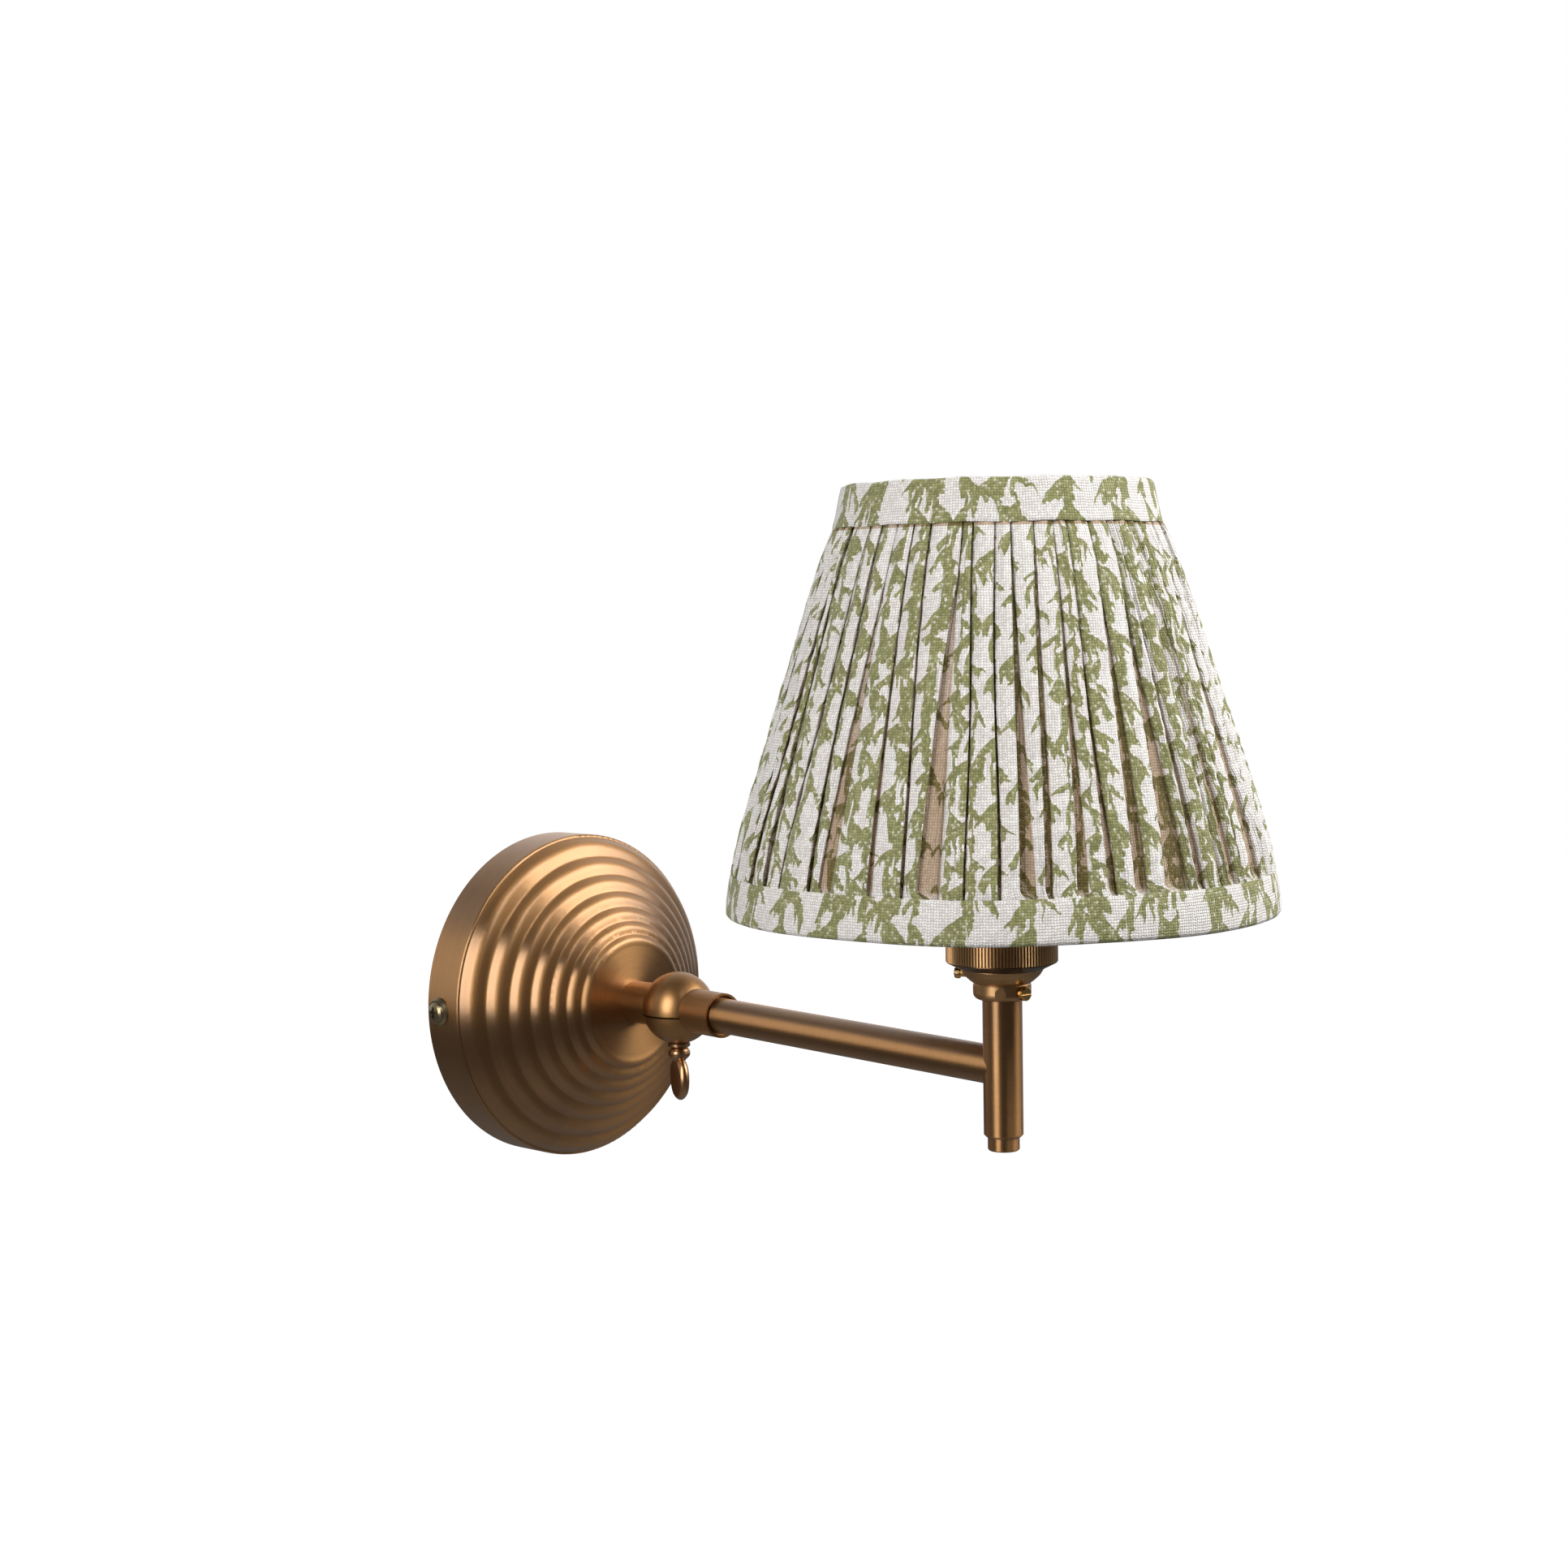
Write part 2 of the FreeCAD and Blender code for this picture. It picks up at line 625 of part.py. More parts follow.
def wing_screw():
    """Hand screw under the ball: threaded shank, neck, round knop and a dished paddle."""
    knop_top = "-ball_flat - neck_height - 0.1"
    knop_middle = knop_top + " - bulb_knop_height / 2"
    knop_low = knop_top + " - bulb_knop_height"
    stem_low = "-paddle_centre + paddle_half_height - 3"
    stem = turned("WingScrewStem", [
        ("0", stem_low), ("1.5", stem_low), ("2.4", knop_low + " - 1"), ("waist_radius", knop_low),
        ("bulb_knop_radius * 0.84", knop_low + " + bulb_knop_height * 0.14"),
        ("bulb_knop_radius * 0.97", knop_low + " + bulb_knop_height * 0.3"),
        ("bulb_knop_radius", knop_middle),
        ("bulb_knop_radius * 0.97", knop_top + " - bulb_knop_height * 0.3"),
        ("bulb_knop_radius * 0.84", knop_top + " - bulb_knop_height * 0.14"), ("waist_radius", knop_top),
        ("neck_radius - 0.4", "-ball_flat - neck_height"), ("neck_radius", "-ball_flat - neck_height + 0.4"),
        ("neck_radius", "-ball_flat - 0.5"), ("neck_radius - 0.4", "-ball_flat - 0.1"),
        ("screw_shank", "-ball_flat - 0.1"), ("screw_shank", "screw_top"), ("0", "screw_top")])
    paddle = bind(doc.addObject("Part::Ellipsoid", "Paddle"), Radius1="paddle_half_height",
                  Radius2="paddle_half_width", Radius3="paddle_half_width * 0.5")
    paddle.Angle1, paddle.Angle2, paddle.Angle3 = -90, 90, 360
    put(paddle, 0, 0, "-paddle_centre")
    flat = box(30, "paddle_thickness", 40, -15, "-paddle_thickness / 2", -60)
    blade = common(paddle, flat)
    dish = "paddle_waist / 2 + paddle_dish_radius"
    dishes = [put(sphere("paddle_dish_radius"), 0, side + "(" + dish + ")", "-paddle_centre - 1")
              for side in ("-", "")]
    screw = fuse(cut(blade, *dishes), stem)
    keep("wing_screw", screw, FreeCAD.Placement(BALL.Base, turn_about(Z_AXIS, PADDLE_TURN)))


# ---------------------------------------------------------------- arm and stem

def arm_tube():
    """Horizontal tube, coped at its outer end to the stem."""
    tube = cylinder("arm_radius", "arm_length - arm_start", 0, "-arm_start", 0, Y_AXIS * -1)
    bore = cylinder("arm_bore", "arm_length", 0, "1 - arm_start", 0, Y_AXIS * -1)
    cope = cylinder("stem_radius + 0.02", 60, 0, "-arm_length", -30)
    keep("arm_tube", cut(tube, bore, cope), ARM)


def stem_tube():
    tube = turned("StemTube", [
        ("stem_bore", "-stem_bottom"), ("stem_radius - stem_chamfer", "-stem_bottom"),
        ("stem_radius", "-stem_bottom + stem_chamfer"), ("stem_radius", "stem_top"),
        ("stem_bore", "stem_top")])
    keep("stem_tube", cut(tube, cylinder("wire_hole", 20, 0, 0, 0, Y_AXIS)), STEM)


def stem_end_cap():
    keep("stem_end_cap", turned("StemEndCap", [
        ("0", "-end_cap_bottom"), ("end_cap_radius - 0.5", "-end_cap_bottom"),
        ("end_cap_radius", "-end_cap_bottom + 0.5"), ("end_cap_radius", "-end_cap_plug"),
        ("0", "-end_cap_plug")]), STEM)


def stem_top_fittings():
    """Bush in the top of the stem and the threaded nipple that the lampholder screws onto."""
    keep("stem_bush", turned("StemBush", [
        ("nipple_radius + thread_clearance", "stem_top - 10"),
        ("stem_bore - thread_clearance", "stem_top - 10"), ("stem_bore - thread_clearance", "stem_top - 0.2"),
        ("nipple_radius + thread_clearance", "stem_top - 0.2")]), STEM)
    keep("lampholder_nipple", turned("HolderNipple", [
        ("nipple_bore", "stem_top - 12"), ("nipple_radius", "stem_top - 12"),
        ("nipple_radius", "holder_collar_top + 0.3"), ("nipple_bore", "holder_collar_top + 0.3")]), STEM)


# ---------------------------------------------------------------- lampholder, in the stem frame

def rounded_rise(radius, low, rounding, steps=5):
    """Corners of a rounded lower edge: from a flat underside round to an upright side."""
    corners = []
    for step in range(steps + 1):
        angle = math.radians(90 * step / steps)
        corners.append(("%s - %s * %.6f" % (radius, rounding, 1 - math.sin(angle)),
                        "%s + %s * %.6f" % (low, rounding, 1 - math.cos(angle))))
    return corners


def lampholder_cap():
    """Entry collar with a rounded foot, cone and the flange that the union ring holds."""
    outline = [("nipple_radius + thread_clearance", "stem_top + 0.1")]
    outline += rounded_rise("holder_collar_radius", "stem_top + 0.1", "holder_collar_round")
    outline += [
        ("holder_collar_radius", "holder_collar_top - 0.5"),
        ("holder_collar_radius - 0.2", "holder_collar_top"),
        ("holder_collar_radius + 1.2", "holder_collar_top + 1.0"),
        ("holder_collar_radius + 3.3", "holder_collar_top + 2.9"),
        ("holder_cone_radius", "holder_cone_top"), ("holder_cone_radius", "holder_cone_top + 1.05"),
        ("holder_flange_radius", "holder_flange_top - 1.6"), ("holder_flange_radius", "holder_flange_top"),
        ("14.2", "holder_flange_top"), ("14.0", "holder_dish_bottom + 7"),
        ("12.0", "holder_dish_bottom + 3.5"), ("holder_dish_radius", "holder_dish_bottom + 2"),
        ("holder_dish_radius", "holder_dish_bottom"),
        ("nipple_radius + thread_clearance", "holder_dish_bottom")]
    cap = turned("LampholderCap", outline)
    grub_hole = cylinder("side_screw_hole", 8, 0, -4.0, "grub_screw_height", Y_AXIS * -1)
    outward = turn_about(Z_AXIS, EARTH_SCREW_TURN).multVec(X_AXIS)
    earth_hole = cylinder("side_screw_hole", 14, outward.x * 6, outward.y * 6, "earth_screw_height", outward)
    dimple_side = turn_about(Z_AXIS, -90 - 48).multVec(X_AXIS)
    dimple = cylinder(2.0, 2, "(holder_collar_radius - 0.25) * %.6f" % dimple_side.x,
                      "(holder_collar_radius - 0.25) * %.6f" % dimple_side.y, "grub_screw_height",
                      dimple_side)
    keep("lampholder_cap", cut(cap, grub_hole, earth_hole, dimple), STEM)


def side_screw(name, shank, head_radius, head_height, seat):
    """A slotted screw along Z whose head's underside is at a height."""
    top = seat + head_height
    blank = turned(name, [
        ("0", seat - shank), ("1.5", seat - shank), ("1.5", seat), (head_radius, seat),
        (head_radius, top - 0.5), (head_radius - 0.4, top), ("0", top)])
    return cut(blank, box(3 * head_radius, 0.7, 1, -1.5 * head_radius, -0.35, top - 0.8))


def lampholder_screws():
    """Grub screw in the entry collar and earth screw on the cone."""
    height = FreeCAD.Vector(0, 0, dim("grub_screw_height"))
    outward = FreeCAD.Rotation(Z_AXIS, Y_AXIS * -1)
    keep("lampholder_grub_screw", side_screw("GrubScrew", 5.3, 2.6, 2.2, 10.7),
         STEM.multiply(FreeCAD.Placement(height, outward)))
    earth_height = FreeCAD.Vector(0, 0, dim("earth_screw_height"))
    side = turn_about(Z_AXIS, EARTH_SCREW_TURN).multVec(X_AXIS)
    keep("lampholder_earth_screw", side_screw("HolderEarthScrew", 6.5, 2.1, 2.0, 15.5),
         STEM.multiply(FreeCAD.Placement(earth_height, FreeCAD.Rotation(Z_AXIS, side))))


def union_ring():
    """Knurled ring that screws the cap to the barrel."""
    root = "union_radius - knurl_depth"
    blank = turned("UnionRing", [
        ("holder_cone_radius + 0.2", "holder_cone_top + 0.2"), (root, "union_chamfer_top"),
        (root, "union_top"),
        ("barrel_radius + thread_clearance", "union_top"),
        ("barrel_radius + thread_clearance", "holder_flange_top + 0.1"),
        ("holder_flange_radius + 0.15", "holder_flange_top + 0.1"),
        ("holder_flange_radius + 0.15", "holder_flange_top - 1.75"),
        ("holder_cone_radius + 0.2", "holder_cone_top + 0.95")])
    count = int(dim("knurl_count"))
    outer, inner = dim("union_radius"), dim("union_radius") - dim("knurl_depth")
    points = []
    for tooth in range(count):
        start = 2 * math.pi * tooth / count
        for part_turn, radius in ((0.0, inner - 0.05), (0.25, outer), (0.7, outer), (0.95, inner - 0.05)):
            angle = start + 2 * math.pi / count * part_turn
            points.append(FreeCAD.Vector(radius * math.cos(angle), radius * math.sin(angle), 0))
    points.append(points[0])
    height = dim("union_top") - dim("union_chamfer_top") - 0.8
    teeth = Part.Face(Part.makePolygon(points)).extrude(Z_AXIS * height)
    teeth.translate(Z_AXIS * (dim("union_chamfer_top") + 0.4))
    core = Part.makeCylinder(inner - 0.6, 30, Z_AXIS * 30)
    keep("lampholder_union_ring", fuse(blank, raw_feature("Knurl", teeth.cut(core))), STEM)


def lampholder_barrel():
    """Threaded outer shell: the shade rings run on its ridges."""
    outline = [("barrel_bore", "holder_flange_top + 0.1"), ("barrel_radius", "holder_flange_top + 0.1"),
               ("barrel_radius", "barrel_thread_start")]
    ridges = int((dim("barrel_top") - dim("barrel_thread_start") - 1.5) / dim("barrel_pitch"))
    for ridge in range(ridges):
        foot = dim("barrel_thread_start") + dim("barrel_pitch") * ridge
        outline += [("barrel_root", foot + 0.5), ("barrel_root", foot + 0.9), ("barrel_radius", foot + 1.4),
                    ("barrel_radius", foot + 2.3)]
    outline += [("barrel_radius", "barrel_top - 0.5"), ("barrel_radius - 0.5", "barrel_top"),
                ("barrel_bore - 1", "barrel_top"), ("barrel_bore - 1", "barrel_top - 1"),
                ("barrel_bore", "barrel_top - 1")]
    keep("lampholder_barrel", turned("Barrel", outline), STEM)


def lampholder_insides():
    """Ceramic insert, screw shell, centre contact and the two terminal pillars."""
    insert = turned("Insert", [
        ("0", "insert_base"), ("barrel_bore - 0.15", "insert_base"), ("barrel_bore - 0.15", "insert_top"),
        ("shell_radius + 0.9", "insert_top"), ("shell_radius + 0.9", "insert_top + 9"),
        ("shell_radius + 0.1", "insert_top + 9"), ("shell_radius + 0.1", "insert_top - 1"),
        ("0", "insert_top - 1")])
    pillars, sockets = [], []
    for side in (-dim("terminal_offset"), dim("terminal_offset")):
        pillar = cylinder(2.1, 6, side, 0, "insert_base - 1.5")
        pillars.append(cut(pillar, cylinder("lead_radius + 0.05", 4, side, 0, "insert_base - 2")))
        sockets.append(cylinder(2.15, 4.6, side, 0, "insert_base - 0.1"))
    keep("lampholder_insert", cut(insert, *sockets), STEM)
    keep("lampholder_terminals", group(*pillars), STEM)
    keep("lampholder_screw_shell", turned("ScrewShell", [
        ("shell_radius - 4", "insert_top - 0.9"), ("shell_radius", "insert_top - 0.9"),
        ("shell_radius", "shell_top"),
        ("shell_radius - shell_wall", "shell_top"), ("shell_radius - shell_wall", "insert_top - 0.3"),
        ("shell_radius - 4", "insert_top - 0.3")]), STEM)
    keep("lampholder_contact", turned("Contact", [
        ("0", "insert_top - 0.9"), ("4.5", "insert_top - 0.9"), ("4.5", "insert_top + 0.2"),
        ("2.5", "bulb_bottom - 0.1"), ("0", "bulb_bottom - 0.1")]), STEM)


def bulb():
    """Screw cap and opal globe of a small round bulb."""
    keep("bulb_cap", turned("BulbCap", [
        ("0", "bulb_bottom"), ("4.8", "bulb_bottom"), ("5.4", "bulb_bottom + 1.5"),
        ("10.8", "bulb_bottom + 3.5"),
        ("bulb_cap_radius", "bulb_bottom + 5"), ("bulb_cap_radius", "bulb_cap_top"),
        ("0", "bulb_cap_top")]), STEM)
    neck, radius = dim("bulb_cap_radius") - 0.3, dim("bulb_radius")
    centre = dim("bulb_top") - radius
    low = FreeCAD.Vector(neck, 0, dim("bulb_cap_top") + 0.1)
    angle = math.radians(-35)
    side = FreeCAD.Vector(radius * math.cos(angle), 0, centre + radius * math.sin(angle))
    waist = FreeCAD.Vector(neck + 2.2, 0, (low.z + side.z) / 2 - 1.5)
    crown = FreeCAD.Vector(radius * math.cos(math.pi / 4), 0, centre + radius * math.sin(math.pi / 4))
    top = FreeCAD.Vector(0, 0, dim("bulb_top"))
    foot = FreeCAD.Vector(0, 0, low.z)
    edges = [Part.makeLine(foot, low), Part.Arc(low, waist, side).toShape(),
             Part.Arc(side, crown, top).toShape(), Part.makeLine(top, foot)]
    globe = Part.Face(Part.Wire(edges)).revolve(FreeCAD.Vector(), Z_AXIS, 360)
    keep("bulb_globe", raw_feature("BulbGlobe", globe), STEM)


# ---------------------------------------------------------------- shade, in the stem frame

def shade_rings():
    """The two threaded rings that clamp the shade's carrier on the barrel."""
    upper = "shade_ring_lower + shade_ring_height + carrier_thickness + 0.2"
    for name, low in (("shade_ring_seat", "shade_ring_lower"), ("shade_ring_clamp", upper)):
        keep(name, turned(name, [
            ("barrel_radius + thread_clearance", low), ("shade_ring_radius - 1.2", low),
            ("shade_ring_radius", low + " + 1.0"), ("shade_ring_radius", low + " + shade_ring_height - 1.0"),
            ("shade_ring_radius - 1.2", low + " + shade_ring_height"),
            ("barrel_radius + thread_clearance", low + " + shade_ring_height")]), STEM)


def torus(ring, height):
    shape = bind(doc.addObject("Part::Torus", "Wire"), Radius1=ring, Radius2="wire_radius")
    return put(shape, 0, 0, height)


def shade_frame():
    """Carrier ring, its three arms and the two wire rings inside the shade's edges."""
    low = "shade_ring_lower + shade_ring_height + 0.1"
    keep("carrier_ring", turned("CarrierRing", [
        ("carrier_bore", low), ("carrier_radius", low), ("carrier_radius", low + " + carrier_thickness"),
        ("carrier_bore", low + " + carrier_thickness")]), STEM)
    bottom_radius = "lining_bottom_radius - lining_thickness - 1.1 * wire_radius - 0.7"
    top_radius = "lining_top_radius - lining_thickness - 1.1 * wire_radius + 0.5"
    keep("shade_bottom_wire", group(torus(bottom_radius, "shade_bottom + 2.2 + wire_radius")), STEM)
    keep("shade_top_wire", group(torus(top_radius, "shade_top - 2.2 - wire_radius")), STEM)
    start = dim("carrier_radius") - 0.4
    start_height = value_of(low + " + carrier_thickness / 2")
    end = value_of(bottom_radius) - dim("wire_radius") + 0.3
    end_height = dim("shade_bottom") + 2.2 + dim("wire_radius")
    run = FreeCAD.Vector(end - start, 0, end_height - start_height)
    arms = []
    for turn in CARRIER_ARM_TURNS:
        around = turn_about(Z_AXIS, turn)
        foot = around.multVec(FreeCAD.Vector(start, 0, start_height))
        arm = bind(doc.addObject("Part::Cylinder", "CarrierArm"), Radius="carrier_arm_radius")
        arm.Height = run.Length
        arm.Placement = FreeCAD.Placement(foot, FreeCAD.Rotation(Z_AXIS, around.multVec(run)))
        arms.append(arm)
    keep("carrier_arms", group(*arms), STEM)


def shade_cover():
    """Gathered fabric: a bellied conical wall from inside the bottom band to inside the top band."""
    inset = dim("band_thickness") + dim("fabric_gap")
    low = FreeCAD.Vector(dim("shade_bottom_radius") - inset - 0.3, 0, dim("shade_bottom") + 0.8)
    band_low = FreeCAD.Vector(dim("shade_bottom_radius") - dim("bottom_band_lean") - inset, 0,
                              dim("shade_bottom") + dim("band_height"))
    band_high = FreeCAD.Vector(dim("shade_top_radius") + dim("top_band_lean") - inset, 0,
                               dim("shade_top") - dim("band_height"))
    high = FreeCAD.Vector(dim("shade_top_radius") - inset + 0.2, 0, dim("shade_top") - 0.8)
    chord = band_high - band_low
    belly = dim("belly_radius")
    sagitta = belly - math.sqrt(belly ** 2 - chord.Length ** 2 / 4)
    across = FreeCAD.Vector(chord.z, 0, -chord.x).normalize()
    middle = (band_low + band_high) * 0.5 + across * sagitta
    inner_low = FreeCAD.Vector(dim("lining_bottom_radius") + 0.15, 0, low.z)
    inner_high = FreeCAD.Vector(dim("lining_top_radius") + 0.15, 0, high.z)
    edges = [Part.makeLine(inner_low, low), Part.makeLine(low, band_low),
             Part.Arc(band_low, middle, band_high).toShape(), Part.makeLine(band_high, high),
             Part.makeLine(high, inner_high), Part.makeLine(inner_high, inner_low)]
    wall = Part.Face(Part.Wire(edges)).revolve(FreeCAD.Vector(), Z_AXIS, 360)
    keep("shade_cover", raw_feature("ShadeCover", wall), STEM)


def shade_bands_and_lining():
    keep("shade_lining", turned("ShadeLining", [
        ("lining_bottom_radius - lining_thickness", "shade_bottom + 0.8"),
        ("lining_bottom_radius", "shade_bottom + 0.8"), ("lining_top_radius", "shade_top - 0.8"),
        ("lining_top_radius - lining_thickness", "shade_top - 0.8")]), STEM)
    inner_bottom = "shade_bottom_radius - band_thickness"
    keep("shade_bottom_band", turned("BottomBand", [
        (inner_bottom, "shade_bottom"), ("shade_bottom_radius - 0.3", "shade_bottom"),
        ("shade_bottom_radius", "shade_bottom + 1"),
        ("shade_bottom_radius - bottom_band_lean", "shade_bottom + band_height"),
        (inner_bottom + " - bottom_band_lean", "shade_bottom + band_height")]), STEM)
    inner_top = "shade_top_radius - band_thickness"
    keep("shade_top_band", turned("TopBand", [
        (inner_top, "shade_top"), ("shade_top_radius", "shade_top"),
        ("shade_top_radius + top_band_lean", "shade_top - band_height"),
        (inner_top + " + top_band_lean", "shade_top - band_height")]), STEM)


# ---------------------------------------------------------------- wiring

def lead_path(points, bends):
    """Straight runs joined by tangent arcs: one bend radius for each inner point."""
    edges = []
    start = points[0]
    for before, corner, after, radius in zip(points, points[1:], points[2:], bends):
        back = (before - corner).normalize()
        ahead = (after - corner).normalize()
        half_turn = (math.pi - back.getAngle(ahead)) / 2
        reach = radius * math.tan(half_turn)
        middle = (back + ahead).normalize() * (radius / math.cos(half_turn) - radius)
        first, last = corner + back * reach, corner + ahead * reach
        edges.append(Part.makeLine(start, first))
        edges.append(Part.Arc(first, corner + middle, last).toShape())
        start = last
    edges.append(Part.makeLine(start, points[-1]))
    return Part.Wire(edges)


def lead(name, points, bends, placement):
    """A round insulated lead along a path."""
    vectors = [FreeCAD.Vector(*point) for point in points]
    path = lead_path(vectors, bends)
    direction = vectors[1] - vectors[0]
    ring = Part.Wire(Part.makeCircle(dim("lead_radius"), vectors[0], direction))
    tube = path.makePipeShell([ring], True, True)
    expected = math.pi * dim("lead_radius") ** 2 * path.Length
    if abs(tube.Volume / expected - 1) > 0.02:
        raise RuntimeError("%s has the volume of another length" % name)
    keep(name, raw_feature(name, tube), placement)


def wall_leads():
    """From the connector block and the earth tag to the hollow of the ball."""
    end = -dim("ball_distance") + 7.2
    block_low = -dim("block_bottom") - 0.1
    way = dim("block_half_length") / 2
    depth = -dim("rim_screw_depth")
    for name, side in (("live_lead_wall", -1), ("neutral_lead_wall", 1)):
        lead(name, [(side * way, depth, block_low), (side * way, depth, block_low - 13),
                    (side * dim("lead_offset"), -29, block_low - 13),
                    (side * 1.7, -35, -0.1), (side * 1.7, end, -0.1)],
             [7, 7, 7], ROW)
    tag = dim("earth_place") - dim("earth_tag_length") - 1.2
    lead("earth_lead_wall", [(tag, -3.1, 0), (tag - 8, -3.6, 0.5), (18, -26, 9),
                             (0, -36, 2.4), (0, end, 2.4)],
         [8, 12, 8], ROW)


def arm_leads():
    """From the hollow of the ball through the arm and up the stem to the lampholder."""
    length = dim("arm_length")
    floor = -dim("lead_dip")
    for name, side in (("live_lead_arm", -1), ("neutral_lead_arm", 1)):
        column = side * dim("lead_offset")
        terminal = side * dim("terminal_offset")
        lead(name, [(column, -7.4, floor), (column, -22, floor), (column, -48, 0), (column, -length, 0),
                    (column, -length, 37.5), (terminal, -length, 38.4), (terminal, -length, 42.5)],
             [20, 20, 6, 1.4, 1.4], ARM)
    earth = turn_about(Z_AXIS, EARTH_SCREW_TURN).multVec(X_AXIS) * 8.3
    height = dim("earth_screw_height")
    lead("earth_lead_arm", [(0, -7.4, floor), (0, -22, floor), (0, -48, 0), (0, -length, 0),
                            (0, -length, height), (earth.x, -length + earth.y, height)],
         [20, 20, 6, 4], ARM)


# ---------------------------------------------------------------- assembly

def build():
    backplate_cover()
    wall_bracket()
    rim_fasteners()
    earth_stud()
    terminal_block()
    knuckle_fixing()
    knuckle_upper()
    friction_washer()
    wall_leads()
    knuckle_lower()
    wing_screw()
    arm_tube()
    stem_tube()
    stem_end_cap()
    stem_top_fittings()
    lampholder_cap()
    lampholder_screws()
    union_ring()
    lampholder_barrel()
    lampholder_insides()
    bulb()
    shade_rings()
    shade_frame()
    shade_cover()
    shade_bands_and_lining()
    arm_leads()


def check_and_write():
    """Stops at any failed object or bad shape, then writes each sub-part as a STEP file."""
    doc.recompute()
    for item in doc.Objects:
        if {"Invalid", "Error"} & set(item.State):
            raise RuntimeError("%s (%s) failed: %s" % (item.Name, item.Label, item.State))
    for item in sub_parts:
        if item.Shape.isNull() or not item.Shape.isValid():
            raise RuntimeError("%s has a bad shape" % item.Label)
    os.makedirs("parts", exist_ok=True)
    for item in sub_parts:
        item.Shape.exportStep("parts/%s.step" % item.Label)
        print("%-26s %2d solid(s) %10.1f mm3" % (item.Label, len(item.Shape.Solids), item.Shape.Volume))


build()
check_and_write()
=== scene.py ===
import json
import math

import bpy
import numpy as np
from mathutils import Matrix, Vector


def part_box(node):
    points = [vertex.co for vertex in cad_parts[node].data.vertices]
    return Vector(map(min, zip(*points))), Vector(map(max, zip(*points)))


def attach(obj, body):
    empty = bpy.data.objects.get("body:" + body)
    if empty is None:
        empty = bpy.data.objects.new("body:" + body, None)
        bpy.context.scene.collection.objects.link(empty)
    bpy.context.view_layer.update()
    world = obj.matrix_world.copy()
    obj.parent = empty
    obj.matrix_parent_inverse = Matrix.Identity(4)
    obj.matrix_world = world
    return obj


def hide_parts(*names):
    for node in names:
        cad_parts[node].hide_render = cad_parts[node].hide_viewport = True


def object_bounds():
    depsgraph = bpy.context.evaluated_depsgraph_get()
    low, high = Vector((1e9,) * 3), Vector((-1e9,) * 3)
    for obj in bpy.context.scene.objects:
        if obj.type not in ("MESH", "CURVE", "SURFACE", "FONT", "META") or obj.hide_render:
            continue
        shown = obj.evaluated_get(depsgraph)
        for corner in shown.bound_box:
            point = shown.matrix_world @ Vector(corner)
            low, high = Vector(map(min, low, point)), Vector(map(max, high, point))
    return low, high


# Looks of a swing arm wall sconce: brushed brass plate, knuckle, arm and stem, and a gathered printed
# linen shade. Everything is in metres in the CAD's row frame: the wall is y = 0, the arm reaches out
# toward -Y, and +Z is up.

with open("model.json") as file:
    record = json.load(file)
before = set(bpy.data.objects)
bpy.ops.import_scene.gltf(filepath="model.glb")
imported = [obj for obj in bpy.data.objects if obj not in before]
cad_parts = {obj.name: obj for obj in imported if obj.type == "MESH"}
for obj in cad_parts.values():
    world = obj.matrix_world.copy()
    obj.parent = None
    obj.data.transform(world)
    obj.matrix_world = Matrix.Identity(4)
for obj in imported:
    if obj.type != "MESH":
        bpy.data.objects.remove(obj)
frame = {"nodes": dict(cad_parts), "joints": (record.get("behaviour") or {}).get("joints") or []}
cad_low, cad_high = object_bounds()
nodes = frame["nodes"]
MM = 0.001
PER_METRE = 1000.0

joints = {j["name"]: j for j in frame["joints"]}
BALL = Vector(joints["arm_swing"]["pos_m"])
STEM = Vector(joints["shade_clamp_turn"]["pos_m"])
STEM.z = 0.0
ARM_WAY = (STEM - BALL).normalized()
OUT_WAY = Vector((0, -1, 0))
Z_WAY = Vector((0, 0, 1))
WALL_POINT = Vector((0, 0, 0))


# ---------------------------------------------------------------- node graph helper

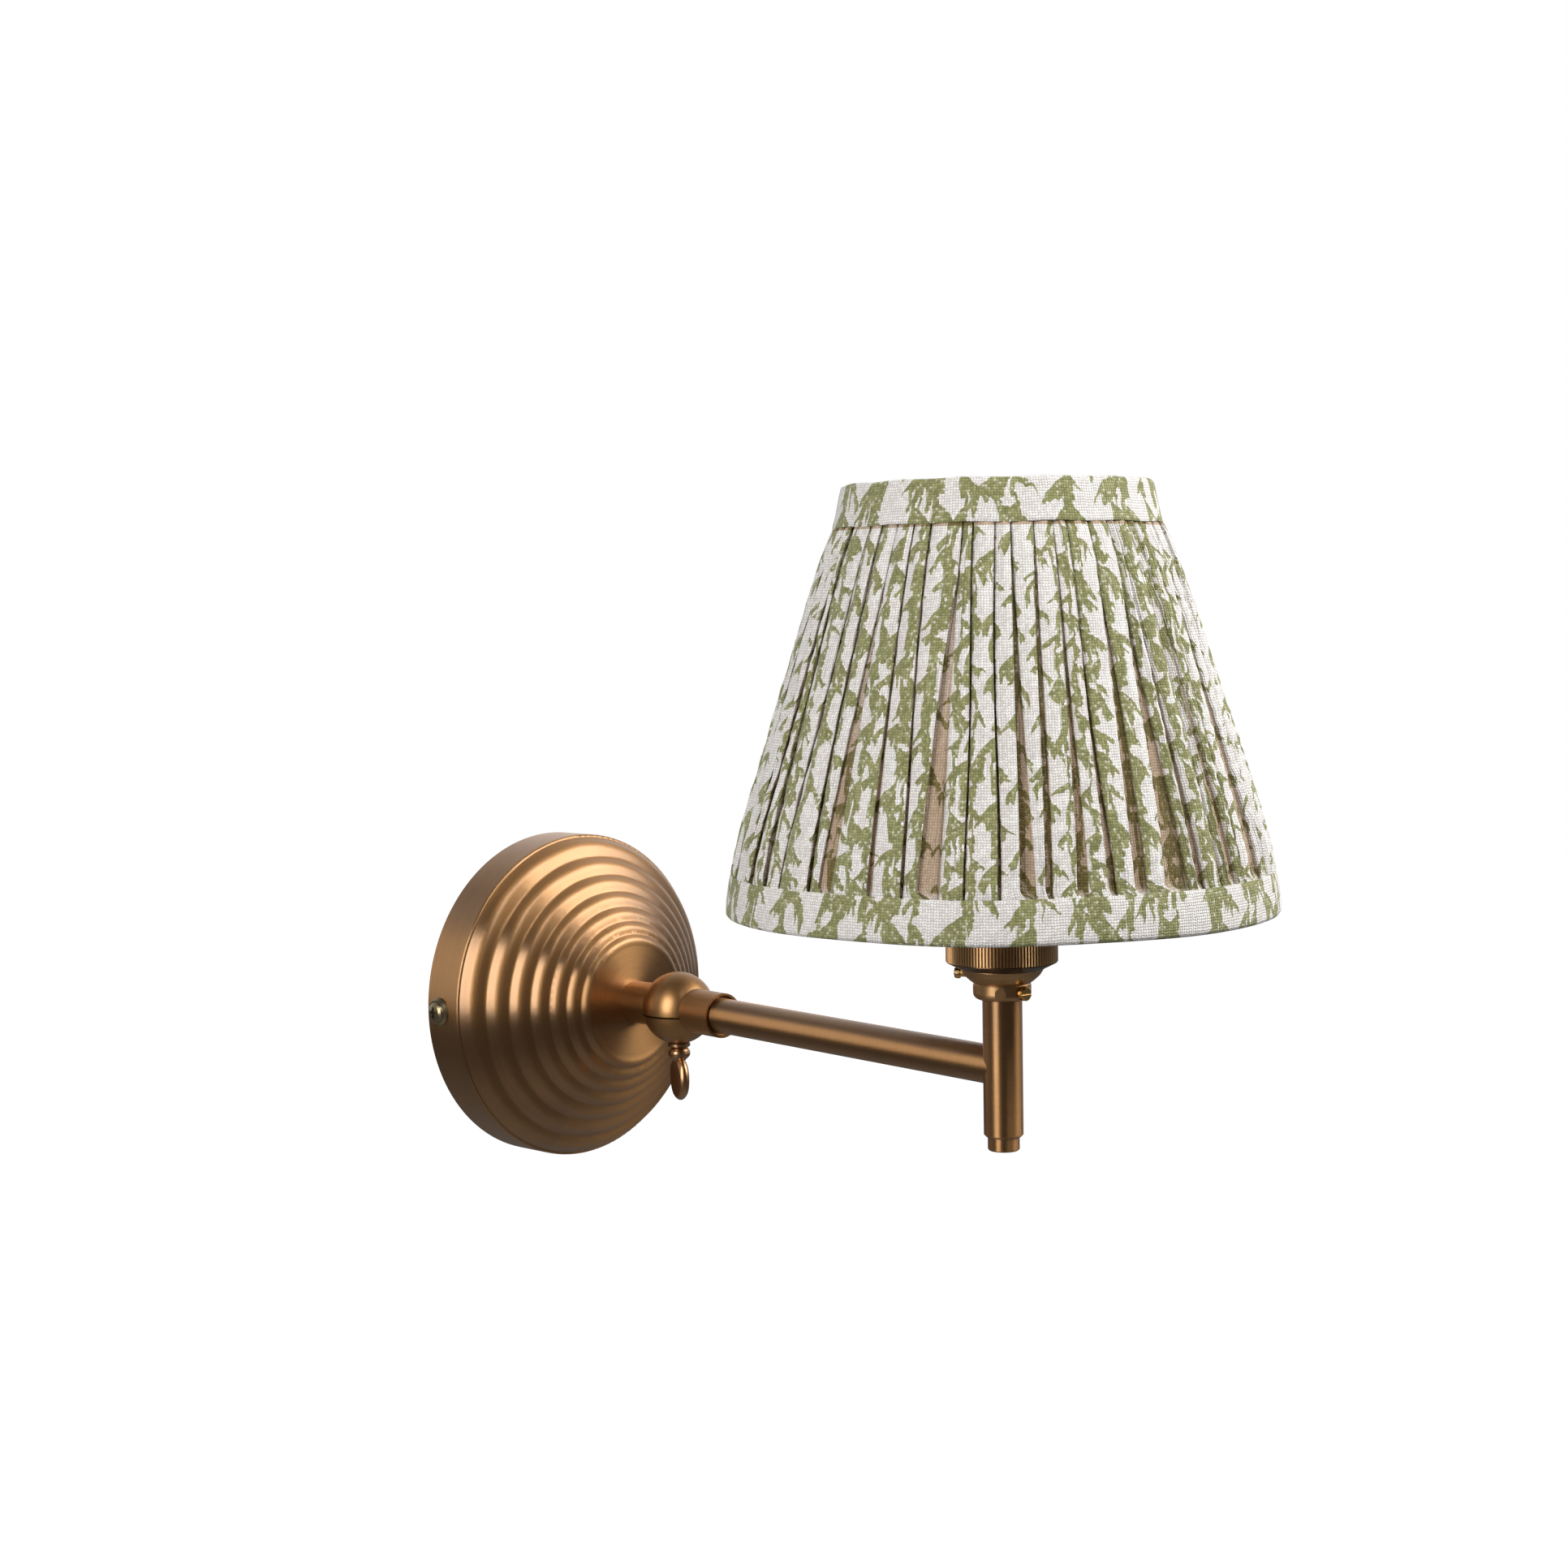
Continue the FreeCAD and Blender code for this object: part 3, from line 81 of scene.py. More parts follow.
class Graph:
    """A material's nodes, with short calls that take sockets or plain numbers."""

    def __init__(self, name):
        self.material = bpy.data.materials.new(name)
        self.material.use_nodes = True
        self.nodes = self.material.node_tree.nodes
        self.links = self.material.node_tree.links
        self.shader = next(n for n in self.nodes if n.type == "BSDF_PRINCIPLED")

    def feed(self, socket, value):
        if isinstance(value, bpy.types.NodeSocket):
            self.links.new(value, socket)
        elif isinstance(value, (int, float)) and hasattr(socket.default_value, "__len__"):
            socket.default_value = [value] * len(socket.default_value)
        elif isinstance(value, (tuple, list, Vector)):
            size = len(socket.default_value)
            socket.default_value = (list(value) + [1.0] * size)[:size]
        else:
            socket.default_value = value

    def set(self, **inputs):
        """Sets the shader's own sockets; an underscore stands for a space."""
        for name, value in inputs.items():
            self.feed(self.shader.inputs[name.replace("_", " ")], value)

    def math(self, operation, *values):
        node = self.nodes.new("ShaderNodeMath")
        node.operation = operation
        for socket, value in zip(node.inputs, values):
            self.feed(socket, value)
        return node.outputs[0]

    def add(self, a, b):
        return self.math("ADD", a, b)

    def sub(self, a, b):
        return self.math("SUBTRACT", a, b)

    def mul(self, a, b):
        return self.math("MULTIPLY", a, b)

    def step(self, value, low, high):
        """0 under low, 1 over high and a smooth slope between."""
        node = self.nodes.new("ShaderNodeMapRange")
        node.interpolation_type = "SMOOTHSTEP"
        for name, number in (("Value", value), ("From Min", low), ("From Max", high)):
            self.feed(node.inputs[name], number)
        return node.outputs[0]

    def scaled(self, value, low, high):
        """A 0 to 1 value stretched to low to high."""
        return self.math("MULTIPLY_ADD", value, high - low, low)

    def vector(self, operation, *values, scale=None):
        node = self.nodes.new("ShaderNodeVectorMath")
        node.operation = operation
        for socket, value in zip(node.inputs, values):
            self.feed(socket, value)
        if scale is not None:
            self.feed(node.inputs["Scale"], scale)
        return node.outputs["Value"] if operation in ("LENGTH", "DOT_PRODUCT") else node.outputs["Vector"]

    def join(self, x, y, z=0.0):
        node = self.nodes.new("ShaderNodeCombineXYZ")
        for socket, value in zip(node.inputs, (x, y, z)):
            self.feed(socket, value)
        return node.outputs[0]

    def split(self, vector):
        node = self.nodes.new("ShaderNodeSeparateXYZ")
        self.feed(node.inputs[0], vector)
        return node.outputs[0], node.outputs[1], node.outputs[2]

    def noise(self, vector, scale=1.0, detail=2.0, roughness=0.5, w=None):
        node = self.nodes.new("ShaderNodeTexNoise")
        node.noise_dimensions = "3D" if w is None else "4D"
        self.feed(node.inputs["Vector"], vector)
        self.feed(node.inputs["Scale"], scale)
        self.feed(node.inputs["Detail"], detail)
        self.feed(node.inputs["Roughness"], roughness)
        if w is not None:
            self.feed(node.inputs["W"], w)
        return node.outputs["Fac"]

    def random(self, vector):
        node = self.nodes.new("ShaderNodeTexWhiteNoise")
        node.noise_dimensions = "3D"
        self.feed(node.inputs["Vector"], vector)
        return node.outputs["Value"]

    def mix(self, factor, a, b, blend="MIX"):
        node = self.nodes.new("ShaderNodeMix")
        node.data_type = "RGBA"
        node.blend_type = blend
        self.feed(node.inputs["Factor"], factor)
        self.feed(node.inputs[6], a)
        self.feed(node.inputs[7], b)
        return node.outputs[2]

    def tint(self, colour, shade):
        """A colour darkened or lightened by one number."""
        return self.mix(1.0, colour, self.join(shade, shade, shade), "MULTIPLY")

    def bump(self, height, distance, strength=1.0, normal=None):
        node = self.nodes.new("ShaderNodeBump")
        self.feed(node.inputs["Height"], height)
        self.feed(node.inputs["Distance"], distance)
        self.feed(node.inputs["Strength"], strength)
        if normal is not None:
            self.feed(node.inputs["Normal"], normal)
        return node.outputs[0]

    def place(self):
        """Coordinates in the row frame that stay on the piece as its body moves."""
        return self.nodes.new("ShaderNodeTexCoord").outputs["Object"]

    def to_world(self, vector):
        node = self.nodes.new("ShaderNodeVectorTransform")
        node.vector_type = "VECTOR"
        node.convert_from = "OBJECT"
        node.convert_to = "WORLD"
        self.feed(node.inputs[0], vector)
        return node.outputs[0]

    def attribute(self, name):
        node = self.nodes.new("ShaderNodeAttribute")
        node.attribute_name = name
        return node.outputs["Vector"]


# ---------------------------------------------------------------- metals

TARNISH = (0.13, 0.062, 0.024)
# near black painted shade for the bottoms of a knurl
GROOVE_PAINTED_SHADE = (0.05, 0.026, 0.01)
KNURL_EDGE = 0.25 * MM
COAT_ROUGHNESS = 0.24
ROUGHNESS_SPREAD = 0.04
ALONG_RINGS = 0.25
FINE_LINES = 5200.0
WIDE_LINES = 1300.0


def turned_metal(name, base, roughness, axis, point, flat=0.0, reach=0.55, grain=1.0, streak=0.10,
                 anisotropy=0.6, tarnish=0.25, relief=0.003, coat=0.8, groove=None):
    """Lacquered metal brushed in rings round an axis, with a light tarnish.

    flat adds the radius to the distance that spaces the rings, for plates; reach is the inverse of the
    streaks' length; groove is the radius under which the bottoms of a knurl are painted near black as shade.
    """
    g = Graph(name)
    p = g.vector("SUBTRACT", g.place(), point)
    along = g.vector("DOT_PRODUCT", p, axis)
    outward = g.vector("SUBTRACT", p, g.vector("SCALE", axis, scale=along))
    radius = g.vector("LENGTH", outward)
    ring = g.vector("CROSS_PRODUCT", axis, p)
    facing = g.vector("NORMALIZE", outward)
    profile = g.sub(g.mul(radius, flat), along)
    fine = g.noise(g.vector("SCALE", facing, scale=reach), 1.0, 2.0, 0.6,
                   w=g.mul(profile, FINE_LINES * grain))
    wide = g.noise(g.vector("SCALE", facing, scale=reach * 0.6), 1.0, 1.0, 0.5,
                   w=g.mul(profile, WIDE_LINES * grain))
    brush = g.add(g.mul(fine, 0.5), g.mul(wide, 0.5))
    cloud = g.noise(p, 26.0, 4.0, 0.6)
    spots = g.step(g.noise(p, 420.0, 2.0, 0.5), 0.66, 0.74)
    dark = g.mul(g.step(cloud, 0.42, 0.78), tarnish)
    shade = g.scaled(brush, 1.0 - streak, 1.0 + streak)
    tinted = g.mix(dark, base, TARNISH)
    tinted = g.mix(g.mul(spots, 0.25 * tarnish), tinted, TARNISH)
    colour = g.tint(tinted, shade)
    rough = g.scaled(brush, roughness - ROUGHNESS_SPREAD, roughness + ROUGHNESS_SPREAD)
    rough = g.add(rough, g.mul(dark, 0.15))
    # painted shade: below the groove radius the knurl's hollows are coloured near black
    if groove is not None:
        colour = g.mix(g.step(radius, groove - KNURL_EDGE, groove), GROOVE_PAINTED_SHADE, colour)
    g.set(Base_Color=colour, Metallic=1.0, Roughness=rough, Anisotropic=anisotropy,
          Anisotropic_Rotation=ALONG_RINGS, Tangent=g.to_world(ring), Normal=g.bump(brush, relief * MM),
          Coat_Weight=coat, Coat_Roughness=COAT_ROUGHNESS)
    return g.material


def plain_metal(name, base, roughness, tarnish, tarnish_colour=(0.12, 0.08, 0.05), scratch=0.08):
    """Metal with a fine random scratch pattern and a little staining."""
    g = Graph(name)
    p = g.place()
    x, y, z = g.split(p)
    lines = g.noise(g.join(g.mul(x, 900.0), g.mul(y, 900.0), g.mul(z, 160.0)), 1.0, 3.0, 0.6)
    cloud = g.noise(p, 60.0, 4.0, 0.6)
    dark = g.mul(g.step(cloud, 0.4, 0.75), tarnish)
    shade = g.scaled(lines, 1.0 - scratch, 1.0 + scratch)
    colour = g.tint(g.mix(dark, base, tarnish_colour), shade)
    rough = g.add(g.scaled(lines, roughness - 0.06, roughness + 0.06), g.mul(dark, 0.15))
    g.set(Base_Color=colour, Metallic=1.0, Roughness=rough, Normal=g.bump(lines, 0.01 * MM))
    return g.material


# ---------------------------------------------------------------- plastics, glass, ceramic

def matte(name, base, roughness, grain=900.0, relief=0.02, vary=0.06, second=None, stripe=None):
    """Moulded, pressed or coated stuff with a fine grain; second is the colour of slanting stripes."""
    g = Graph(name)
    p = g.place()
    grit = g.noise(p, grain, 3.0, 0.6)
    cloud = g.noise(p, 45.0, 3.0, 0.5)
    shade = g.scaled(g.add(g.mul(grit, 0.5), g.mul(cloud, 0.5)), 1.0 - vary, 1.0 + vary)
    colour = base
    if second is not None:
        x, y, z = g.split(p)
        band = g.math("FRACT", g.mul(g.add(g.add(x, z), y), stripe))
        colour = g.mix(g.step(band, 0.64, 0.68), base, second)
    colour = g.tint(colour, shade)
    g.set(Base_Color=colour, Roughness=g.scaled(cloud, roughness - 0.06, roughness + 0.06),
          Normal=g.bump(grit, relief * MM))
    return g.material


def opal(name):
    """White opal glass of a bulb."""
    g = Graph(name)
    cloud = g.noise(g.place(), 30.0, 3.0, 0.5)
    colour = g.mix(cloud, (0.86, 0.85, 0.82), (0.95, 0.94, 0.91))
    g.set(Base_Color=colour, Roughness=g.scaled(cloud, 0.18, 0.26), Subsurface_Weight=0.35,
          Subsurface_Radius=(0.004, 0.0035, 0.003), Coat_Weight=0.5, Coat_Roughness=0.08)
    return g.material


# ---------------------------------------------------------------- cloth

# The cloth attribute holds the distance along and up the cut cloth, in metres, and how much painted
# shade a point gets: its depth in a fold, and full along a dark line just under the top band.
# The patterns are drawn in millimetres.

THREAD = 0.95
LINING_THREAD = 0.45
EDGE = 0.18
# spacing across and up, length and thickness of the leaves
BIG_SPRIG = (20.0, 25.0, 11.5, 3.3)
SMALL_SPRIG = (15.5, 19.0, 7.0, 2.0)
SMALL_SHIFT = (9.6, 12.0)
RIGHT_LEAF_LIFT = 0.46
LEAF_LENGTHS = (0.62, 1.12)
LEAF_TOP, LEAF_FALL, LEAF_BEND = 0.80, 0.40, 0.055
STEM_TOP = 0.84
RAGGED, SWAY, CURL, CURL_UP = 0.4, 8.0, 1.8, 2.2
LINEN_SHADE = (0.77, 0.72, 0.68)
LINEN_LIGHT = (0.95, 0.91, 0.875)
GREEN_SHADE = (0.190, 0.190, 0.070)
GREEN_LIGHT = (0.430, 0.430, 0.200)
# warm painted shade laid on the cloth deep in a fold and along the line under the top band
FOLD_PAINTED_SHADE = (0.62, 0.48, 0.35)
COTTON_SHADE = (0.66, 0.60, 0.50)
COTTON_LIGHT = (0.78, 0.73, 0.64)


def weave_height(g, u, v, pitch):
    """Plain weave: each thread bulges where it lies on top, and every crossing changes places."""
    across = g.math("ABSOLUTE", g.math("SINE", g.mul(u, math.pi / pitch)))
    along = g.math("ABSOLUTE", g.math("SINE", g.mul(v, math.pi / pitch)))
    cells = g.add(g.math("FLOOR", g.mul(u, 1 / pitch)), g.math("FLOOR", g.mul(v, 1 / pitch)))
    parity = g.math("FLOORED_MODULO", cells, 2.0)
    upright = g.mul(across, g.math("POWER", along, 0.5))
    level = g.mul(along, g.math("POWER", across, 0.5))
    mixed = g.add(g.mul(upright, parity), g.mul(level, g.sub(1.0, parity)))
    return g.add(g.mul(mixed, 0.75), g.mul(g.mul(across, along), 0.25))


def sprig_layer(g, u, v, sprig, size, seed):
    """One layer of upright sprigs: a broken stem with pointed leaves that hang to both sides.

    sprig is the layer's spacing and leaf size, scaled by size; seed tells the layers apart.
    """
    column, rise, reach, weight = (number * size for number in sprig)
    column_number = g.math("FLOOR", g.mul(u, 1 / column))
    x = g.sub(u, g.mul(g.add(column_number, 0.5), column))
    a = g.math("ABSOLUTE", x)
    side = g.math("GREATER_THAN", x, 0.0)
    luck = g.random(g.join(column_number, seed, 1.0))
    y = g.add(g.add(g.mul(v, 1 / rise), luck), g.mul(side, RIGHT_LEAF_LIFT))
    row = g.math("FLOOR", y)
    height = g.mul(g.math("FRACT", y), rise)
    leaf_luck = g.random(g.join(column_number, row, g.add(side, seed)))
    length = g.mul(g.scaled(leaf_luck, *LEAF_LENGTHS), reach)
    left = g.math("MAXIMUM", g.sub(1.0, g.math("DIVIDE", a, length)), 0.0)
    centre = g.sub(rise * LEAF_TOP, g.add(g.mul(a, LEAF_FALL), g.mul(g.mul(a, a), LEAF_BEND)))
    fat = g.mul(g.math("POWER", left, 0.6), weight)
    streaks = g.noise(g.join(g.mul(u, 0.40), g.mul(v, 0.04), seed), 1.0, 1.0, 0.5)
    drip = g.math("POWER", g.step(streaks, 0.36, 0.70), 1.4)
    over = g.sub(height, centre)
    upper = g.step(g.sub(g.mul(fat, 0.8), over), -EDGE, EDGE)
    lower = g.step(g.add(over, g.mul(fat, g.add(0.7, g.mul(drip, 3.2)))), -EDGE, EDGE)
    leaf = g.mul(g.mul(upper, lower), g.math("LESS_THAN", a, length))
    stem_width = g.mul(g.scaled(streaks, -0.35, 1.75), weight * 0.8)
    below_top = g.math("LESS_THAN", height, rise * STEM_TOP)
    stem = g.mul(g.step(g.sub(stem_width, a), -EDGE, EDGE), below_top)
    return g.math("MAXIMUM", leaf, stem)


def printed_linen(name, size=1.0, shift=(0.0, 0.0), creases=1.8):
    """Off-white linen in plain weave with a sage green sprig print.

    size scales the print, shift moves it in millimetres, and creases is the height of the soft creases.
    """
    g = Graph(name)
    u, v, fold = g.split(g.attribute("cloth"))
    u = g.add(g.mul(u, PER_METRE), shift[0])
    v = g.add(g.mul(v, PER_METRE), shift[1])
    slub = g.noise(g.join(g.mul(u, 0.9), g.mul(v, 0.05), 0.0), 1.0, 2.0, 0.5)
    slub_level = g.noise(g.join(g.mul(u, 0.05), g.mul(v, 0.9), 4.0), 1.0, 2.0, 0.5)
    weave_u = g.add(u, g.mul(g.sub(slub_level, 0.5), 1.1))
    weave_v = g.add(v, g.mul(g.sub(slub, 0.5), 1.1))
    weave = weave_height(g, weave_u, weave_v, THREAD)
    crossing_u = g.math("FLOOR", g.mul(weave_u, 1 / THREAD))
    crossing_v = g.math("FLOOR", g.mul(weave_v, 1 / THREAD))
    speck = g.random(g.join(crossing_u, crossing_v, 2.0))

    flat = g.join(u, v, 0.0)
    moved = g.vector("ADD", flat, (40.0, 90.0, 7.0))
    sway = g.sub(g.noise(flat, 0.05, 1.0, 0.5), 0.5)
    sway_up = g.sub(g.noise(moved, 0.05, 1.0, 0.5), 0.5)
    curl = g.sub(g.noise(flat, 0.19, 1.0, 0.5), 0.5)
    curl_up = g.sub(g.noise(moved, 0.19, 1.0, 0.5), 0.5)
    ragged = g.mul(g.sub(speck, 0.5), RAGGED)
    print_u = g.add(g.add(u, ragged), g.add(g.mul(sway, SWAY), g.mul(curl, CURL)))
    print_v = g.add(g.add(v, ragged), g.add(g.mul(sway_up, SWAY), g.mul(curl_up, CURL_UP)))
    big = sprig_layer(g, print_u, print_v, BIG_SPRIG, size, 3.0)
    small = sprig_layer(g, g.add(print_u, SMALL_SHIFT[0]), g.add(print_v, SMALL_SHIFT[1]), SMALL_SPRIG,
                        size, 8.0)
    dry = g.noise(g.join(g.mul(u, 0.55), g.mul(v, 0.10), 9.0), 1.0, 2.0, 0.6)
    ink = g.mul(g.math("MAXIMUM", big, small), g.step(dry, 0.20, 0.31))
    ink = g.mul(ink, g.scaled(g.step(speck, 0.86, 0.96), 1.0, 0.68))

    cloudy = g.noise(flat, 0.05, 3.0, 0.6)
    linen = g.mix(speck, LINEN_SHADE, LINEN_LIGHT)
    green = g.mix(g.add(g.mul(speck, 0.7), g.mul(cloudy, 0.3)), GREEN_SHADE, GREEN_LIGHT)
    colour = g.mix(ink, linen, green)
    # painted shade and highlight: the weave's hollows darken and the thread tops lighten
    weave_painted_shade = g.scaled(g.math("POWER", weave, 0.8), 0.62, 1.10)
    colour = g.tint(colour, weave_painted_shade)
    # painted shade: the cloth darkens to a warm brown by its depth in a fold and along the line under the top
    # band
    colour = g.mix(fold, colour, g.mix(1.0, colour, FOLD_PAINTED_SHADE, "MULTIPLY"))
    fibres = g.noise(g.join(g.mul(u, 3.0), g.mul(v, 3.0), 1.0), 1.0, 2.0, 0.6)
    height = g.add(weave, g.mul(fibres, 0.25))
    crease = g.noise(g.join(g.mul(u, 0.30), g.mul(v, 0.016), 21.0), 1.0, 2.0, 0.5)
    soft = g.bump(crease, creases * MM)
    g.set(Base_Color=colour, Roughness=g.scaled(fibres, 0.82, 0.95), Specular_IOR_Level=0.25,
          Sheen_Weight=0.15, Sheen_Roughness=0.5, Normal=g.bump(height, 0.22 * MM, 1.0, soft))
    return g.material


def lining_cotton(name):
    """Fine cream cotton with a close weave."""
    g = Graph(name)
    u, v, _ = g.split(g.attribute("cloth"))
    u = g.mul(u, PER_METRE)
    v = g.mul(v, PER_METRE)
    weave = weave_height(g, u, v, LINING_THREAD)
    cloud = g.noise(g.join(g.mul(u, 0.03), g.mul(v, 0.03), 0.0), 1.0, 3.0, 0.5)
    colour = g.mix(cloud, COTTON_SHADE, COTTON_LIGHT)
    # painted shade and highlight: the weave's hollows darken a little and the thread tops lighten
    colour = g.tint(colour, g.scaled(weave, 0.9, 1.03))
    g.set(Base_Color=colour, Roughness=g.scaled(cloud, 0.8, 0.9), Specular_IOR_Level=0.2,
          Normal=g.bump(weave, 0.06 * MM, 0.8))
    return g.material


# ---------------------------------------------------------------- mesh of a cloth strip

def strip_mesh(name, front, back, cloth, fold):
    """A closed cloth strip from two grids of points, rows by columns; its two ends are closed too.

    cloth is each point's place on the cut cloth and fold is the painted shade it gets, 0 to 1, set by how
    deep in a fold it lies.
    """
    rows, columns = front.shape[:2]
    points = np.concatenate([front.reshape(-1, 3), back.reshape(-1, 3)])
    number = np.arange(rows * columns).reshape(rows, columns)
    behind = number + rows * columns

    def quads(a, b, c, d):
        return np.stack([a, b, c, d], -1).reshape(-1, 4)

    faces = [
        quads(number[:-1, :-1], number[:-1, 1:], number[1:, 1:], number[1:, :-1]),
        quads(behind[:-1, :-1], behind[1:, :-1], behind[1:, 1:], behind[:-1, 1:]),
        quads(number[0, :-1], behind[0, :-1], behind[0, 1:], number[0, 1:]),
        quads(number[-1, :-1], number[-1, 1:], behind[-1, 1:], behind[-1, :-1]),
        quads(number[:-1, 0], number[1:, 0], behind[1:, 0], behind[:-1, 0]),
        quads(number[:-1, -1], behind[:-1, -1], behind[1:, -1], number[1:, -1]),
    ]
    faces = np.concatenate(faces)
    mesh = bpy.data.meshes.new(name)
    mesh.vertices.add(len(points))
    mesh.vertices.foreach_set("co", points.astype(np.float32).ravel())
    mesh.loops.add(faces.size)
    mesh.loops.foreach_set("vertex_index", faces.astype(np.int32).ravel())
    mesh.polygons.add(len(faces))
    mesh.polygons.foreach_set("loop_start", np.arange(0, faces.size, 4, dtype=np.int32))
    mesh.update(calc_edges=True)
    mesh.polygons.foreach_set("use_smooth", np.ones(len(faces), bool))
    values = np.concatenate([cloth.reshape(-1, 2)] * 2)
    # the painted shade of each point, kept third in the cloth attribute
    depth = np.concatenate([fold.reshape(-1)] * 2)
    attribute = mesh.attributes.new("cloth", "FLOAT_VECTOR", "POINT")
    attribute.data.foreach_set("vector", np.column_stack([values, depth]).astype(np.float32).ravel())
    mesh.validate()
    piece = bpy.data.objects.new(name, mesh)
    bpy.context.scene.collection.objects.link(piece)
    return piece


def around_stem(radius, angle, height):
    """Points in the row frame from radius, angle and height about the stem's axis."""
    return np.stack([STEM.x + radius * np.cos(angle), STEM.y + radius * np.sin(angle), height], -1)


# ---------------------------------------------------------------- shade

SEAM_ANGLE = math.radians(75.0)
SEAM_OPEN = 0.0012  # radians between the two ends of a band or of the lining
bottom_band_low, bottom_band_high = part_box("shade_bottom_band")
top_band_low, top_band_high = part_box("shade_top_band")
SHADE_LOW = bottom_band_low.z
SHADE_HIGH = top_band_high.z
SHADE_TALL = SHADE_HIGH - SHADE_LOW
BOTTOM_RADIUS = (bottom_band_high.x - bottom_band_low.x) / 2
BAND_TALL = bottom_band_high.z - bottom_band_low.z
TOP_BAND_RADIUS = (top_band_high.x - top_band_low.x) / 2
TOP_BAND_LEAN = 3.0 * MM
TOP_RADIUS = TOP_BAND_RADIUS - TOP_BAND_LEAN
LINING_LOW, LINING_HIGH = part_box("shade_lining")
LINING_BOTTOM = (LINING_HIGH.x - LINING_LOW.x) / 2
LINING_TOP = 51.8 * MM

PLEATS = 60
PANEL_ROWS = 70
PANEL_MIDDLE = 8  # the point of a pleat's path that lies at the middle of its panel
CLOTH_THICK = 0.35 * MM
CLOTH_PER_PLEAT = 15.8 * MM
CRUMPLE = 0.075 * MM
BELLY = 1.6 * MM
CLOTH_SLOPE = 1.036  # length up the slope for each unit of height
LINING_SLOPE = 1.038
LINING_THICK = 0.4 * MM
BAND_THICK = 0.5 * MM
BAND_STEP = 0.7 * MM
BAND_COLUMNS = 400
LINING_COLUMNS, LINING_ROWS = 300, 24


def lining_radius(height):
    """The lining's outer radius at a height."""
    share = (height - LINING_LOW.z) / (LINING_HIGH.z - LINING_LOW.z)
    return LINING_BOTTOM + (LINING_TOP - LINING_BOTTOM) * share


def panel_radius(height):
    """Outer radius of the gathered cloth between the two bands: a cone with a slight belly."""
    low = BOTTOM_RADIUS - 2.3 * MM
    high = TOP_BAND_RADIUS - 0.15 * MM
    share = np.clip((height - SHADE_LOW - BAND_TALL) / (SHADE_TALL - 2 * BAND_TALL), 0, 1)
    return low + (high - low) * share + BELLY * (1 - np.abs(2 * share - 1) ** 6)


def pleat_path(width, gap, depth, closed, lean):
    """A pleat's section from left to right as (along, outward) in metres.

    It has the soft left side, the panel, the sharp right fold that turns back under, and the recess.
    closed is 1 where the pleat's left side lies against its neighbour.
    """
    left = -0.3 * MM * closed
    panel = [
        (left, -depth), (left + 0.35 * MM, -depth * 0.92), (0.15 * MM, -depth * 0.62), (0.4 * MM, -1.05 * MM),
        (0.8 * MM, -0.62 * MM), (1.35 * MM, -0.34 * MM), (2.0 * MM, -0.16 * MM)]
    inner_width = width - 2.0 * MM - 0.9 * MM
    for step in (0.25, 0.5, 0.75):
        crown = 0.75 * MM * math.sin(math.pi * step) + lean * step
        panel.append((2.0 * MM + inner_width * step, -0.16 * MM + 0.12 * MM * step + crown))
    top = -0.02 * MM + lean
    panel += [
        (width - 0.75 * MM, top), (width - 0.3 * MM, top - 0.04 * MM), (width - 0.06 * MM, top - 0.18 * MM),
        (width, top - 0.45 * MM), (width - 0.1 * MM, top - 0.72 * MM), (width - 0.4 * MM, top - 0.95 * MM),
        (width - 0.85 * MM, top - 1.1 * MM), (width - 1.15 * MM, min(-depth * 0.68, top - 1.35 * MM)),
        (width - 1.15 * MM, -depth + 0.12 * MM), (width - 0.85 * MM, -depth - 0.02 * MM)]
    reach = gap + 0.85 * MM + left
    for step in (0.3, 0.6, 0.85):
        panel.append((width - 0.85 * MM + reach * step, -depth - 0.05 * MM * math.sin(math.pi * step)))
    return panel


def edge_angle(edge, share):
    """Where an edge between two pleats stands at a share of the height; it leans and sways a little."""
    angle, drift, sway, phase = edge
    return angle + drift * (share - 0.5) + sway * math.sin(6.0 * share + phase)


